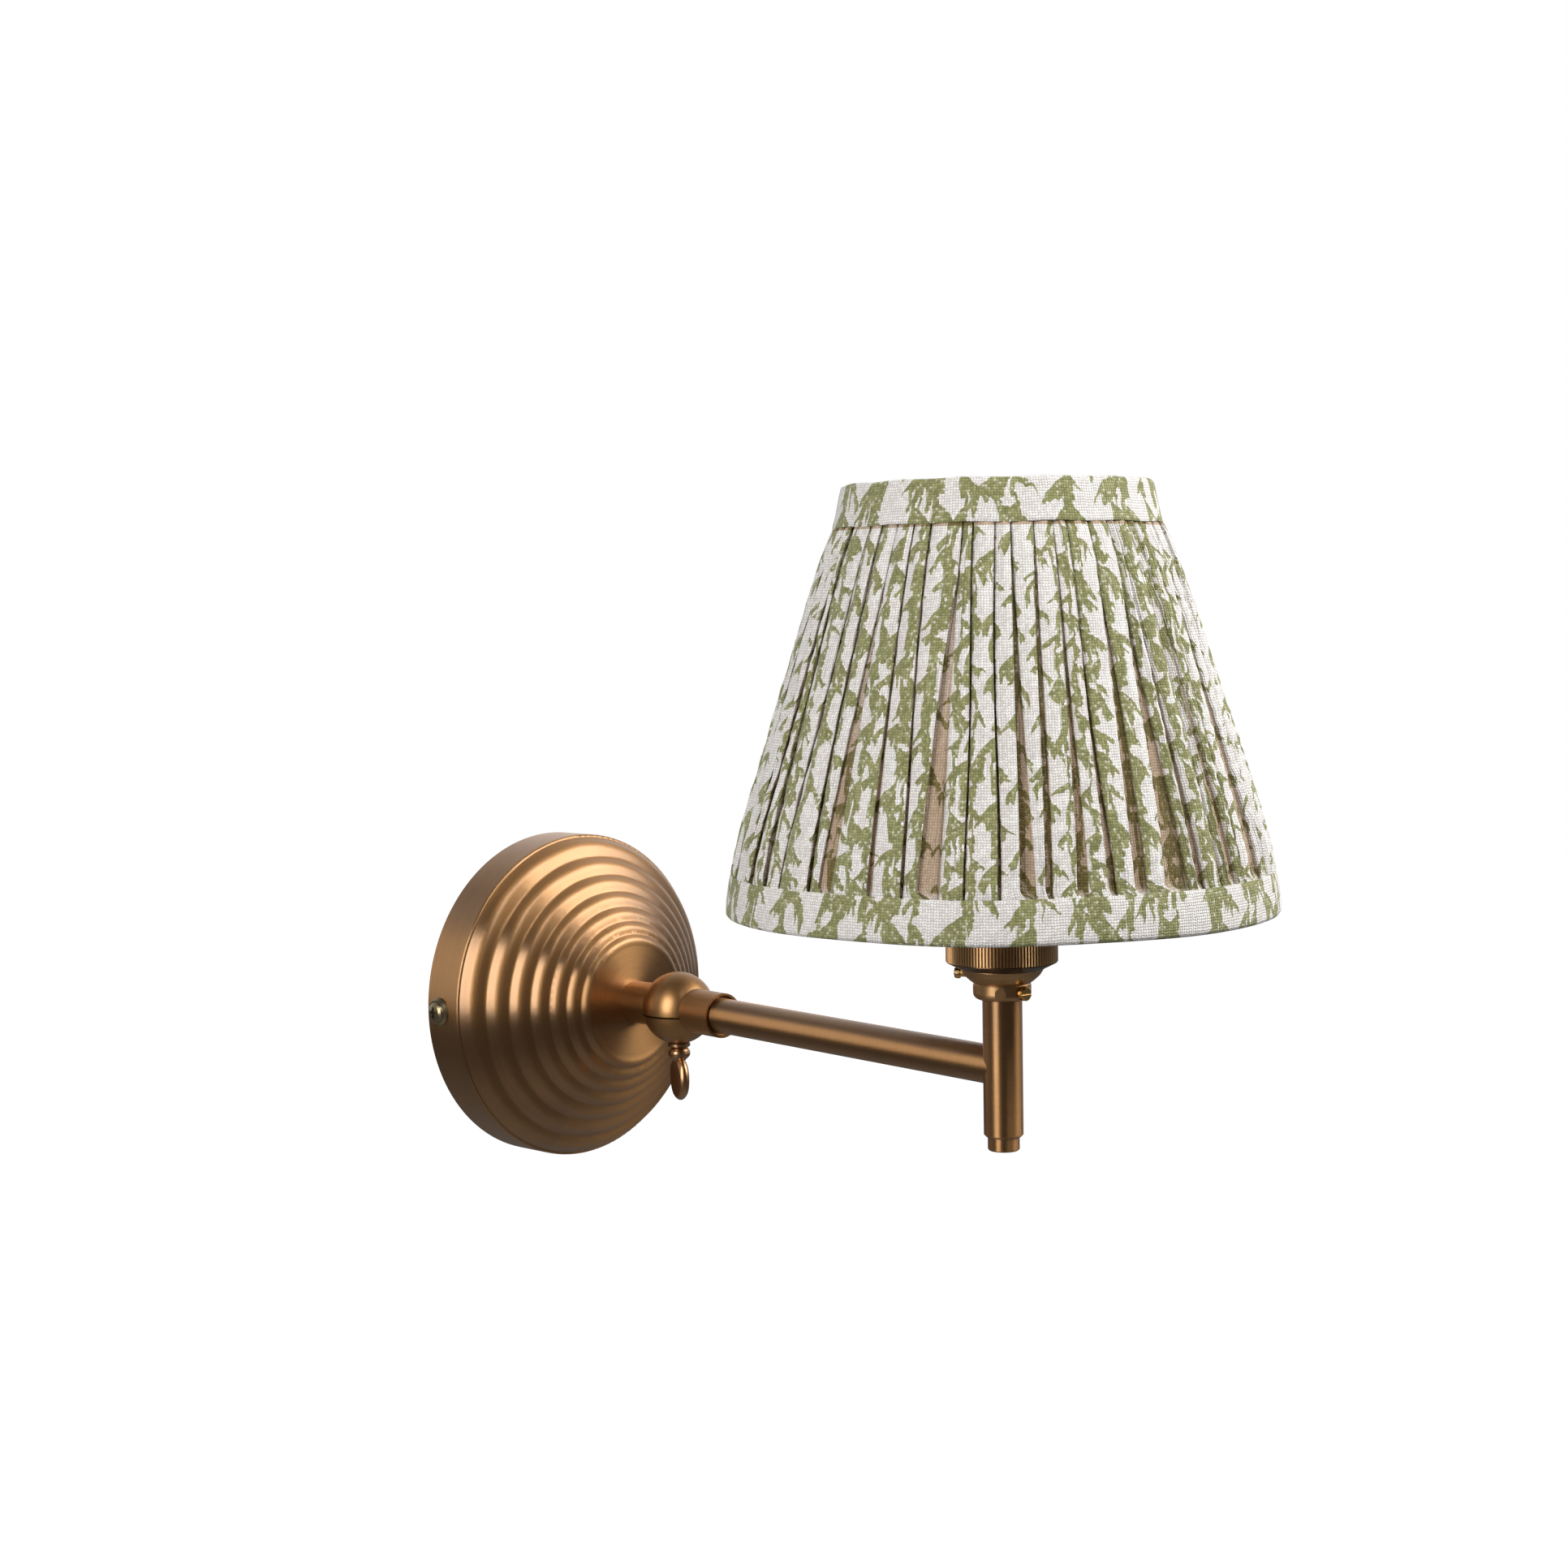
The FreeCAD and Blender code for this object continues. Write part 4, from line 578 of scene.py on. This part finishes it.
def pleat_row(height, plan):
    """One level of the cloth, as lists with a value for each point.

    They are the angle, the radius, the length travelled, how deep in a fold the point is, which sets its
    painted shade, and its distance along the path from the middle of its panel.
    """
    share = min(1.0, max(0.0, (height - SHADE_LOW - BAND_TALL) / (SHADE_TALL - 2 * BAND_TALL)))
    radius = float(panel_radius(np.array(height)))
    over_bottom = (height - SHADE_LOW - BAND_TALL) / (3.0 * MM)
    over_top = (SHADE_HIGH - BAND_TALL - height) / (3.0 * MM)
    free = min(1.0, max(0.0, min(over_bottom, over_top) * 0.5 + 0.5))
    free = free * free * (3 - 2 * free)
    if height < SHADE_LOW + BAND_TALL:
        behind_band = (SHADE_LOW + BAND_TALL - height) / BAND_TALL
        radius = min(radius, BOTTOM_RADIUS - 2.6 * MM + 0.8 * MM * behind_band)
    elif height > SHADE_HIGH - BAND_TALL:
        behind_band = (height - SHADE_HIGH + BAND_TALL) / BAND_TALL
        radius = TOP_BAND_RADIUS - 1.2 * MM - TOP_BAND_LEAN * behind_band
    room = radius - lining_radius(height) - 0.9 * MM
    angles, radii, lengths, painted_fold_shade, spread = [], [], [], [], []
    travelled = 0.0
    before = None
    for pleat in plan:
        first = len(lengths)
        start = edge_angle(pleat["left"], share)
        span = (edge_angle(pleat["right"], share) - start) * radius
        opening = min(1.0, max(0.0, (pleat["opens"] - share) / pleat["opens"]))
        gap = span * pleat["gap"] * opening ** 0.8 * (0.25 + 0.75 * free)
        depth = (1.7 + 1.0 * (1 - share) * pleat["deep"]) * MM
        depth = max(1.5 * MM, min(depth, room))
        wave = pleat["wave"] * math.sin(7.0 * share + pleat["phase"])
        lean = (pleat["lean"] * MM + 0.2 * MM * wave) * free
        path = pleat_path(span - gap, gap, depth, 1 - min(1.0, gap / (1.2 * MM)), lean)
        squeeze = 0.42 + 0.58 * free
        for along, outward in path:
            out = outward * squeeze
            angle = start + along / radius
            here = (angle * radius, out)
            if before is not None:
                travelled += math.hypot(here[0] - before[0], here[1] - before[1])
            before = here
            angles.append(angle)
            radii.append(radius + out)
            lengths.append(travelled)
            # how deep in a fold the point lies, which sets how much shade is painted on it
            painted_fold_shade.append(min(1.0, max(0.0, (-outward - 1.1 * MM) / (1.2 * MM))) * free)
        middle = lengths[first + PANEL_MIDDLE]
        spread += [length - middle for length in lengths[first:]]
    return angles, radii, lengths, painted_fold_shade, spread


def pleat_plan(luck):
    """Edges, gap and lean of every pleat round the shade; the last edge falls on the first."""
    widths = luck.uniform(0.55, 1.5, PLEATS)
    angles = SEAM_ANGLE + np.concatenate([[0.0], np.cumsum(widths)]) / widths.sum() * 2 * math.pi
    edges = [(angle, luck.uniform(-0.05, 0.05), luck.uniform(-0.008, 0.008), luck.uniform(0, 6.3))
             for angle in angles]
    edges[-1] = (angles[-1],) + edges[0][1:]
    plan = []
    for left, right in zip(edges[:-1], edges[1:]):
        tight = luck.random() < 0.22
        plan.append({
            "left": left, "right": right,
            "gap": luck.uniform(0.02, 0.09) if tight else luck.uniform(0.26, 0.68),
            "opens": luck.uniform(0.7, 1.2), "deep": luck.uniform(0.7, 1.15),
            "lean": luck.uniform(-0.8, 0.6), "wave": luck.uniform(0.3, 1.8), "phase": luck.uniform(0, 6.3)})
    return plan


def crumple(across, tall, painted_fold_shade):
    """Small uneven waves pressed into the pleats' faces, fading out at the bands and deep in a fold, where
    shade is painted.
    """
    luck = np.random.default_rng(23)
    waves = np.zeros(across.shape)
    for _ in range(9):
        swing = luck.uniform(0.25, 0.75) / MM * luck.choice([-1, 1])
        climb = luck.uniform(0.05, 0.24) / MM
        waves += np.sin(swing * across + climb * tall + luck.uniform(0, 6.3))
    low = (tall - SHADE_LOW - BAND_TALL) / (10 * MM)
    high = (SHADE_HIGH - BAND_TALL - tall) / (10 * MM)
    fade = np.clip(np.minimum(low, high), 0, 1) * (1 - np.clip(painted_fold_shade * 2, 0, 1))
    return CRUMPLE * waves * fade


def gathered_cloth():
    """The shade's outer cloth, gathered into irregular flat pleats between the bands."""
    plan = pleat_plan(np.random.default_rng(11))
    edge = BAND_TALL
    heights = np.concatenate([
        SHADE_LOW + np.array([5.0, 9.0, 12.5, 14.3]) * MM,
        np.linspace(SHADE_LOW + edge + 0.2 * MM, SHADE_LOW + edge + 5 * MM, 6),
        np.linspace(SHADE_LOW + edge + 8 * MM, SHADE_HIGH - edge - 8 * MM, PANEL_ROWS),
        np.linspace(SHADE_HIGH - edge - 5 * MM, SHADE_HIGH - edge - 1.3 * MM, 5),
        SHADE_HIGH - edge - np.array([0.8, 0.1]) * MM,
        SHADE_HIGH - np.array([14.0, 12.0, 8.0, 4.0]) * MM])
    rows = [pleat_row(float(height), plan) for height in heights]
    angles = np.array([row[0] for row in rows])
    radii = np.array([row[1] for row in rows])
    lengths = np.array([row[2] for row in rows])
    painted_fold_shade = np.array([row[3] for row in rows])
    # painted shadow: the rows just under the top band get full fold shade, a dark line
    band_shadow_rows = np.abs(heights - SHADE_HIGH + edge) < 0.9 * MM
    painted_fold_shade[band_shadow_rows] = 1.0
    tall = np.repeat(heights[:, None], angles.shape[1], 1)
    radii = radii + crumple(lengths, tall, painted_fold_shade)
    front = around_stem(radii, angles, tall)
    arc = angles * np.median(radii, axis=1)[:, None]
    run = np.gradient(arc, axis=1)
    rise = np.gradient(radii, axis=1)
    size = np.hypot(run, rise) + 1e-12
    back_angle = angles + CLOTH_THICK * (rise / size) / radii
    back_radius = radii - CLOTH_THICK * (run / size)
    back = around_stem(back_radius, back_angle, tall)
    up = (heights - heights[0]) * CLOTH_SLOPE
    points_per_pleat = angles.shape[1] // PLEATS
    base = np.repeat(np.arange(PLEATS) * CLOTH_PER_PLEAT, points_per_pleat)
    across = np.array([row[4] for row in rows]) + base[None, :]
    cloth = np.stack([across, np.repeat(up[:, None], angles.shape[1], 1)], -1)
    return strip_mesh("gathered_cloth", front, back, cloth, painted_fold_shade), float(lengths.max()), float(up.max())


def smooth_line(corners, spacing):
    """Points about evenly spaced along a smooth line through the corners."""
    corners = np.array(corners, float)
    extended = np.vstack([2 * corners[0] - corners[1], corners, 2 * corners[-1] - corners[-2]])
    line = []
    for k in range(1, len(extended) - 2):
        a, b, c, d = extended[k - 1:k + 3]
        count = max(2, int(round(np.linalg.norm(c - b) / spacing)))
        for t in np.linspace(0, 1, count, endpoint=False):
            line.append(0.5 * (2 * b + (c - a) * t + (2 * a - 5 * b + 4 * c - d) * t ** 2
                               + (3 * b - a - 3 * c + d) * t ** 3))
    line.append(corners[-1])
    return np.array(line)


def ring_angles(columns):
    """Angles of the columns once round the shade, which stop just short of the seam."""
    return SEAM_ANGLE + np.linspace(0, 2 * math.pi - SEAM_OPEN, columns + 1)


def band_cloth(name, corners, luck, waver):
    """A cloth band: the section's line (radius, height) carried round the stem, slightly uneven."""
    line = smooth_line(corners, BAND_STEP)
    angle = ring_angles(BAND_COLUMNS)
    tangent = np.gradient(line, axis=0)
    tangent /= np.linalg.norm(tangent, axis=1)[:, None]
    normal = np.stack([tangent[:, 1], -tangent[:, 0]], -1)
    travelled = np.concatenate([[0], np.cumsum(np.linalg.norm(np.diff(line, axis=0), axis=1))])
    ripple = np.zeros(len(angle))
    for wave in range(5, 60, 3):
        ripple += luck.normal() / (1 + wave / 14) * np.sin(wave * angle + luck.uniform(0, 6.3))
    ripple *= waver / 2.2
    lift = np.zeros(len(angle))
    for wave in (2, 3, 5, 8, 13):
        lift += luck.normal() * 0.10 * MM * np.sin(wave * angle + luck.uniform(0, 6.3))
    radius = line[:, 0:1] + ripple[None, :]
    height = line[:, 1:2] + lift[None, :]
    turn = np.repeat(angle[None, :], len(line), 0)
    front = around_stem(radius, turn, height)
    back = around_stem(radius - BAND_THICK * normal[:, 0:1], turn, height - BAND_THICK * normal[:, 1:2])
    middle = float(np.median(line[:, 0]))
    cloth = np.stack([(turn - SEAM_ANGLE) * middle, np.repeat(travelled[:, None], len(angle), 1)], -1)
    piece = strip_mesh(name, front, back, cloth, np.zeros(turn.shape))
    return piece, 2 * math.pi * middle, float(travelled[-1])


def bottom_band_corners():
    """Section of the bottom band from inside the lining's edge, round the hem and up the outside."""
    r, z = BOTTOM_RADIUS, SHADE_LOW
    inner = LINING_BOTTOM - 0.62 * MM
    return [
        (inner - 2.6 * MM, z + 9.5 * MM), (inner - 1.2 * MM, z + 5.0 * MM), (inner + 0.15 * MM, z + 1.6 * MM),
        (inner + 1.2 * MM, z + 0.45 * MM), (inner + 3.0 * MM, z + 0.22 * MM), (r - 1.3 * MM, z + 0.12 * MM),
        (r - 0.35 * MM, z + 0.75 * MM), (r, z + 2.0 * MM), (r - 0.35 * MM, z + 7.0 * MM),
        (r - 1.1 * MM, z + 12.0 * MM), (r - 1.75 * MM, z + BAND_TALL - 0.5 * MM),
        (r - 2.1 * MM, z + BAND_TALL), (r - 2.5 * MM, z + BAND_TALL - 0.3 * MM),
        (r - 2.55 * MM, z + BAND_TALL - 1.6 * MM)]


def top_band_corners():
    """Section of the top band from its lower edge up the outside, over the wire and in."""
    r, z = TOP_RADIUS, SHADE_HIGH
    low = TOP_BAND_RADIUS
    wire_low, wire_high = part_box("shade_top_wire")
    inside = (wire_high.x - wire_low.x) / 2 - 2.6 * MM - 0.75 * MM
    return [
        (low - 0.55 * MM, z - BAND_TALL + 1.7 * MM), (low - 0.55 * MM, z - BAND_TALL + 0.35 * MM),
        (low - 0.1 * MM, z - BAND_TALL), (low + 0.3 * MM, z - BAND_TALL + 0.5 * MM),
        (low - 0.6 * MM, z - BAND_TALL + 4.0 * MM), (low - 1.65 * MM, z - BAND_TALL + 9.0 * MM),
        (r + 0.25 * MM, z - 1.4 * MM), (r - 0.35 * MM, z - 0.35 * MM), (r - 1.4 * MM, z - 0.02 * MM),
        (r - 4.6 * MM, z - 0.02 * MM), (inside + 0.75 * MM, z - 0.55 * MM), (inside, z - 1.9 * MM),
        (inside, z - 4.4 * MM), (inside + 1.0 * MM, z - 6.1 * MM), (inside + 3.4 * MM, z - 8.4 * MM),
        (inside + 4.6 * MM, z - 11.0 * MM)]


def lining_cloth(luck):
    """The cone of lining inside the wires, with faint upright creases."""
    angle = ring_angles(LINING_COLUMNS)
    heights = np.linspace(LINING_LOW.z + 0.2 * MM, LINING_HIGH.z - 0.2 * MM, LINING_ROWS)
    crease = np.zeros(len(angle))
    for wave in (5, 9, 14, 23, 37):
        crease += luck.normal() * 0.09 * MM * np.sin(wave * angle + luck.uniform(0, 6.3))
    fade = np.sin(math.pi * np.linspace(0, 1, LINING_ROWS)) ** 0.5
    radius = lining_radius(heights)[:, None] + crease[None, :] * fade[:, None] - 0.05 * MM
    turn = np.repeat(angle[None, :], LINING_ROWS, 0)
    tall = np.repeat(heights[:, None], len(angle), 1)
    front = around_stem(radius, turn, tall)
    back = around_stem(radius - LINING_THICK, turn, tall)
    middle = float(radius.mean())
    up = (heights - heights[0]) * LINING_SLOPE
    cloth = np.stack([(turn - SEAM_ANGLE) * middle, np.repeat(up[:, None], len(angle), 1)], -1)
    piece = strip_mesh("lining_cotton", front, back, cloth, np.zeros(turn.shape))
    return piece, 2 * math.pi * float(radius.max()), float(up.max())


def finish_cloth(piece, material, node):
    """Colours a cloth piece, hangs it on the swing arm's body in the CAD solid's place and hides that solid.
    """
    piece.data.materials.append(material)
    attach(piece, "swing_arm")
    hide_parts(node)


def make_shade():
    """The four sheets of the shade, in the places of the plain CAD solids."""
    luck = np.random.default_rng(5)
    linen = printed_linen("printed_linen", size=0.86)
    band_linen = printed_linen("band_linen", size=1.15, shift=(31.0, 17.0), creases=0.6)
    cotton = lining_cotton("lining_cotton_cloth")
    piece, width, length = gathered_cloth()
    finish_cloth(piece, linen, "shade_cover")
    piece, width, length = band_cloth("bottom_band_cloth", bottom_band_corners(), luck, 0.10 * MM)
    finish_cloth(piece, band_linen, "shade_bottom_band")
    piece, width, length = band_cloth("top_band_cloth", top_band_corners(), luck, 0.07 * MM)
    finish_cloth(piece, band_linen, "shade_top_band")
    piece, width, length = lining_cloth(luck)
    finish_cloth(piece, cotton, "shade_lining")


# ---------------------------------------------------------------- finishes of the CAD nodes

BRASS = (0.40, 0.205, 0.076)
OLD_BRASS = (0.50, 0.285, 0.122)
BRIGHT_BRASS = (0.72, 0.46, 0.18)
WING_BRASS = (0.44, 0.235, 0.10)
KNURL_LOW, KNURL_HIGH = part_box("lampholder_union_ring")
KNURL_RADIUS = (KNURL_HIGH.x - KNURL_LOW.x) / 2


def paint(material, *names):
    """Gives CAD nodes a material."""
    for name in names:
        node = nodes[name]
        if not node.material_slots:
            node.data.materials.append(material)
        for slot in node.material_slots:
            slot.material = material


def paint_all():
    """The finish of every CAD node that shows or lies inside."""
    paint(turned_metal("spun_cover", BRASS, 0.38, OUT_WAY, WALL_POINT, flat=1.0, reach=1.4, streak=0.28,
                       anisotropy=0.86, relief=0.009), "backplate_cover")
    paint(turned_metal("knuckle_brass", BRASS, 0.40, Z_WAY, BALL, grain=0.6, streak=0.04, anisotropy=0.3,
                       tarnish=0.15, relief=0.001, coat=0.3), "knuckle_upper", "knuckle_lower")
    paint(turned_metal("arm_brass", BRASS, 0.46, ARM_WAY, BALL, streak=0.2, anisotropy=0.88, tarnish=0.2),
          "arm_tube")
    paint(turned_metal("stem_brass", BRASS, 0.46, Z_WAY, STEM, streak=0.2, anisotropy=0.88, tarnish=0.2),
          "stem_tube", "stem_end_cap")
    paint(turned_metal("wing_brass", WING_BRASS, 0.31, Z_WAY, BALL, streak=0.05, anisotropy=0.2,
                       tarnish=0.35), "wing_screw")
    paint(turned_metal("holder_brass", OLD_BRASS, 0.40, Z_WAY, STEM, streak=0.08, anisotropy=0.4,
                       tarnish=0.4, coat=0.3),
          "lampholder_cap", "lampholder_barrel", "shade_ring_seat", "shade_ring_clamp")
    paint(turned_metal("knurled_brass", OLD_BRASS, 0.36, Z_WAY, STEM, streak=0.05, anisotropy=0.2,
                       tarnish=0.4, coat=0.3, groove=KNURL_RADIUS - 0.1 * MM), "lampholder_union_ring")
    paint(plain_metal("bright_brass", BRIGHT_BRASS, 0.22, tarnish=0.12), "lampholder_grub_screw",
          "lampholder_earth_screw", "bracket_earth_screw", "terminal_screws", "stem_bush",
          "lampholder_screw_shell", "lampholder_contact", "lampholder_terminals")
    paint(plain_metal("bronzed_steel", (0.34, 0.27, 0.16), 0.30, tarnish=0.3), "rim_screws",
          "rim_screw_washers")
    paint(plain_metal("zinc_steel", (0.56, 0.57, 0.58), 0.38, tarnish=0.3, tarnish_colour=(0.3, 0.3, 0.31)),
          "wall_bracket", "spreader_plate", "spring_washer", "earth_ring_tag", "nipple_locknut",
          "knuckle_nipple", "lampholder_nipple")
    paint(matte("white_nylon", (0.80, 0.79, 0.75), 0.45), "terminal_block")
    paint(matte("fibre", (0.12, 0.055, 0.03), 0.8, relief=0.05), "friction_washer")
    paint(matte("steatite", (0.74, 0.71, 0.64), 0.7, relief=0.04), "lampholder_insert")
    paint(plain_metal("bulb_metal", (0.66, 0.66, 0.66), 0.32, tarnish=0.1, tarnish_colour=(0.4, 0.4, 0.4)),
          "bulb_cap")
    paint(opal("opal_glass"), "bulb_globe")
    paint(matte("white_wire", (0.78, 0.77, 0.73), 0.4, grain=400.0, relief=0.03), "carrier_ring",
          "carrier_arms", "shade_bottom_wire", "shade_top_wire")
    paint(matte("brown_insulation", (0.085, 0.03, 0.012), 0.42), "live_lead_wall", "live_lead_arm")
    paint(matte("blue_insulation", (0.02, 0.07, 0.25), 0.42), "neutral_lead_wall", "neutral_lead_arm")
    paint(matte("earth_insulation", (0.06, 0.26, 0.03), 0.42, second=(0.75, 0.62, 0.03), stripe=160.0),
          "earth_lead_wall", "earth_lead_arm")


# ---------------------------------------------------------------- stage

CAMERA_PLACE = Vector((-0.75219, -0.86805, 0.17041))
CAMERA_YAW = math.radians(-46.095)
CAMERA_PITCH = math.radians(-4.016)
CAMERA_ROLL = math.radians(-0.954)
LENS = 59.63
SENSOR_WIDTH = 36.0
CLIP_START = 0.01
FLOOR_DROP = 1.3
FLOOR_HALF = 12.0
FLOOR_LIFT = 0.95
FLOOR_GREYS = (0.32, 0.35)

# Level directions from the object to the camera and to the camera's right.
TO_CAMERA = Vector((-0.722, -0.692, 0.0))
TO_RIGHT = Vector((0.692, -0.722, 0.0))
NEAR_SIDE, MID_SIDE, FAR_SIDE = (0.15, 0.03), (0.55, 0.11), (0.95, 0.80)
LIGHT_DISTANCE = 1.2
LIGHT_TARGET = Vector((0.0, -0.17, 0.05))
# name, azimuth and elevation in degrees, size in metres, radiance
LIGHTS = [
    ("key_panel", -40, 14, (0.55, 1.0), 6.4),
    ("left_panel", -98, 15, (1.0, 0.9), 0.35),
    ("top_right_panel", 92, 29, (0.9, 0.9), 5.0),
    ("front_panel", 44, 42, (0.9, 0.8), 4.3),
]


def make_camera():
    """The camera from its place, its turns and its lens."""
    level = math.cos(CAMERA_PITCH)
    ahead = Vector((-math.sin(CAMERA_YAW) * level, math.cos(CAMERA_YAW) * level, math.sin(CAMERA_PITCH)))
    right = Vector((math.cos(CAMERA_YAW), math.sin(CAMERA_YAW), 0))
    up = right.cross(ahead)
    rolled_right = right * math.cos(CAMERA_ROLL) + up * math.sin(CAMERA_ROLL)
    rolled_up = up * math.cos(CAMERA_ROLL) - right * math.sin(CAMERA_ROLL)
    data = bpy.data.cameras.new("camera")
    data.lens = LENS
    data.sensor_width = SENSOR_WIDTH
    data.clip_start = CLIP_START
    camera = bpy.data.objects.new("camera", data)
    turn = Matrix((rolled_right, rolled_up, -ahead)).transposed().to_4x4()
    camera.matrix_world = Matrix.Translation(CAMERA_PLACE) @ turn
    bpy.context.scene.collection.objects.link(camera)
    bpy.context.scene.camera = camera


def area_light(name, place, target, size, power):
    """A white rectangular panel that faces the target."""
    data = bpy.data.lights.new(name, "AREA")
    data.shape = "RECTANGLE"
    data.size, data.size_y = size
    data.energy = power
    light = bpy.data.objects.new(name, data)
    light.location = place
    light.rotation_mode = "QUATERNION"
    light.rotation_quaternion = (target - place).to_track_quat("-Z", "Y")
    bpy.context.scene.collection.objects.link(light)


def make_floor():
    """A wide pale sheet under the object."""
    mesh = bpy.data.meshes.new("floor")
    z = cad_low.z - FLOOR_DROP
    corners = [(x * FLOOR_HALF, y * FLOOR_HALF, z) for x, y in ((-1, -1), (1, -1), (1, 1), (-1, 1))]
    mesh.from_pydata(corners, [], [(0, 1, 2, 3)])
    floor = bpy.data.objects.new("floor", mesh)
    bpy.context.scene.collection.objects.link(floor)
    g = Graph("floor_paint")
    grit = g.noise(g.place(), 60.0, 3.0, 0.5)
    seen = g.nodes.new("ShaderNodeLightPath").outputs["Is Camera Ray"]
    dark, light = FLOOR_GREYS
    g.set(Base_Color=g.mix(grit, (dark, dark, dark), (light, light, light)), Roughness=0.9,
          Specular_IOR_Level=0.1, Emission_Color=(1, 1, 1), Emission_Strength=g.mul(seen, FLOOR_LIFT))
    floor.data.materials.append(g.material)


def make_world():
    """White surroundings to the eye; the metal mirrors a bright far side and a dark near side."""
    world = bpy.data.worlds.new("studio")
    world.use_nodes = True
    bpy.context.scene.world = world
    tree = world.node_tree
    tree.nodes.clear()
    coordinates = tree.nodes.new("ShaderNodeTexCoord")
    facing = tree.nodes.new("ShaderNodeVectorMath")
    facing.operation = "DOT_PRODUCT"
    facing.inputs[1].default_value = -TO_CAMERA
    ramp = tree.nodes.new("ShaderNodeValToRGB")
    lit = tree.nodes.new("ShaderNodeBackground")
    seen = tree.nodes.new("ShaderNodeBackground")
    path = tree.nodes.new("ShaderNodeLightPath")
    mix = tree.nodes.new("ShaderNodeMixShader")
    out = tree.nodes.new("ShaderNodeOutputWorld")
    half = tree.nodes.new("ShaderNodeMath")
    half.operation = "MULTIPLY_ADD"
    half.inputs[1].default_value = 0.5
    half.inputs[2].default_value = 0.5
    tree.links.new(coordinates.outputs["Generated"], facing.inputs[0])
    tree.links.new(facing.outputs["Value"], half.inputs[0])
    tree.links.new(half.outputs[0], ramp.inputs["Fac"])
    stops = ramp.color_ramp.elements
    for stop, (place, grey) in ((stops[0], NEAR_SIDE), (stops[1], FAR_SIDE), (None, MID_SIDE)):
        stop = stop or stops.new(place)
        stop.position = place
        stop.color = (grey, grey, grey, 1)
    tree.links.new(ramp.outputs["Color"], lit.inputs["Color"])
    seen.inputs["Color"].default_value = (1, 1, 1, 1)
    tree.links.new(path.outputs["Is Camera Ray"], mix.inputs["Fac"])
    tree.links.new(lit.outputs[0], mix.inputs[1])
    tree.links.new(seen.outputs[0], mix.inputs[2])
    tree.links.new(mix.outputs[0], out.inputs["Surface"])


def make_lights():
    """Soft panels round the object; an azimuth runs from the camera's side toward its right."""
    for name, azimuth, elevation, size, radiance in LIGHTS:
        turn, lift = math.radians(azimuth), math.radians(elevation)
        level = TO_CAMERA * math.cos(turn) + TO_RIGHT * math.sin(turn)
        place = LIGHT_TARGET + (level * math.cos(lift) + Z_WAY * math.sin(lift)) * LIGHT_DISTANCE
        area_light(name, place, LIGHT_TARGET, size, radiance * math.pi * size[0] * size[1])


make_shade()
paint_all()
make_floor()
make_world()
make_lights()
make_camera()
bpy.context.scene.view_settings.view_transform = "Standard"
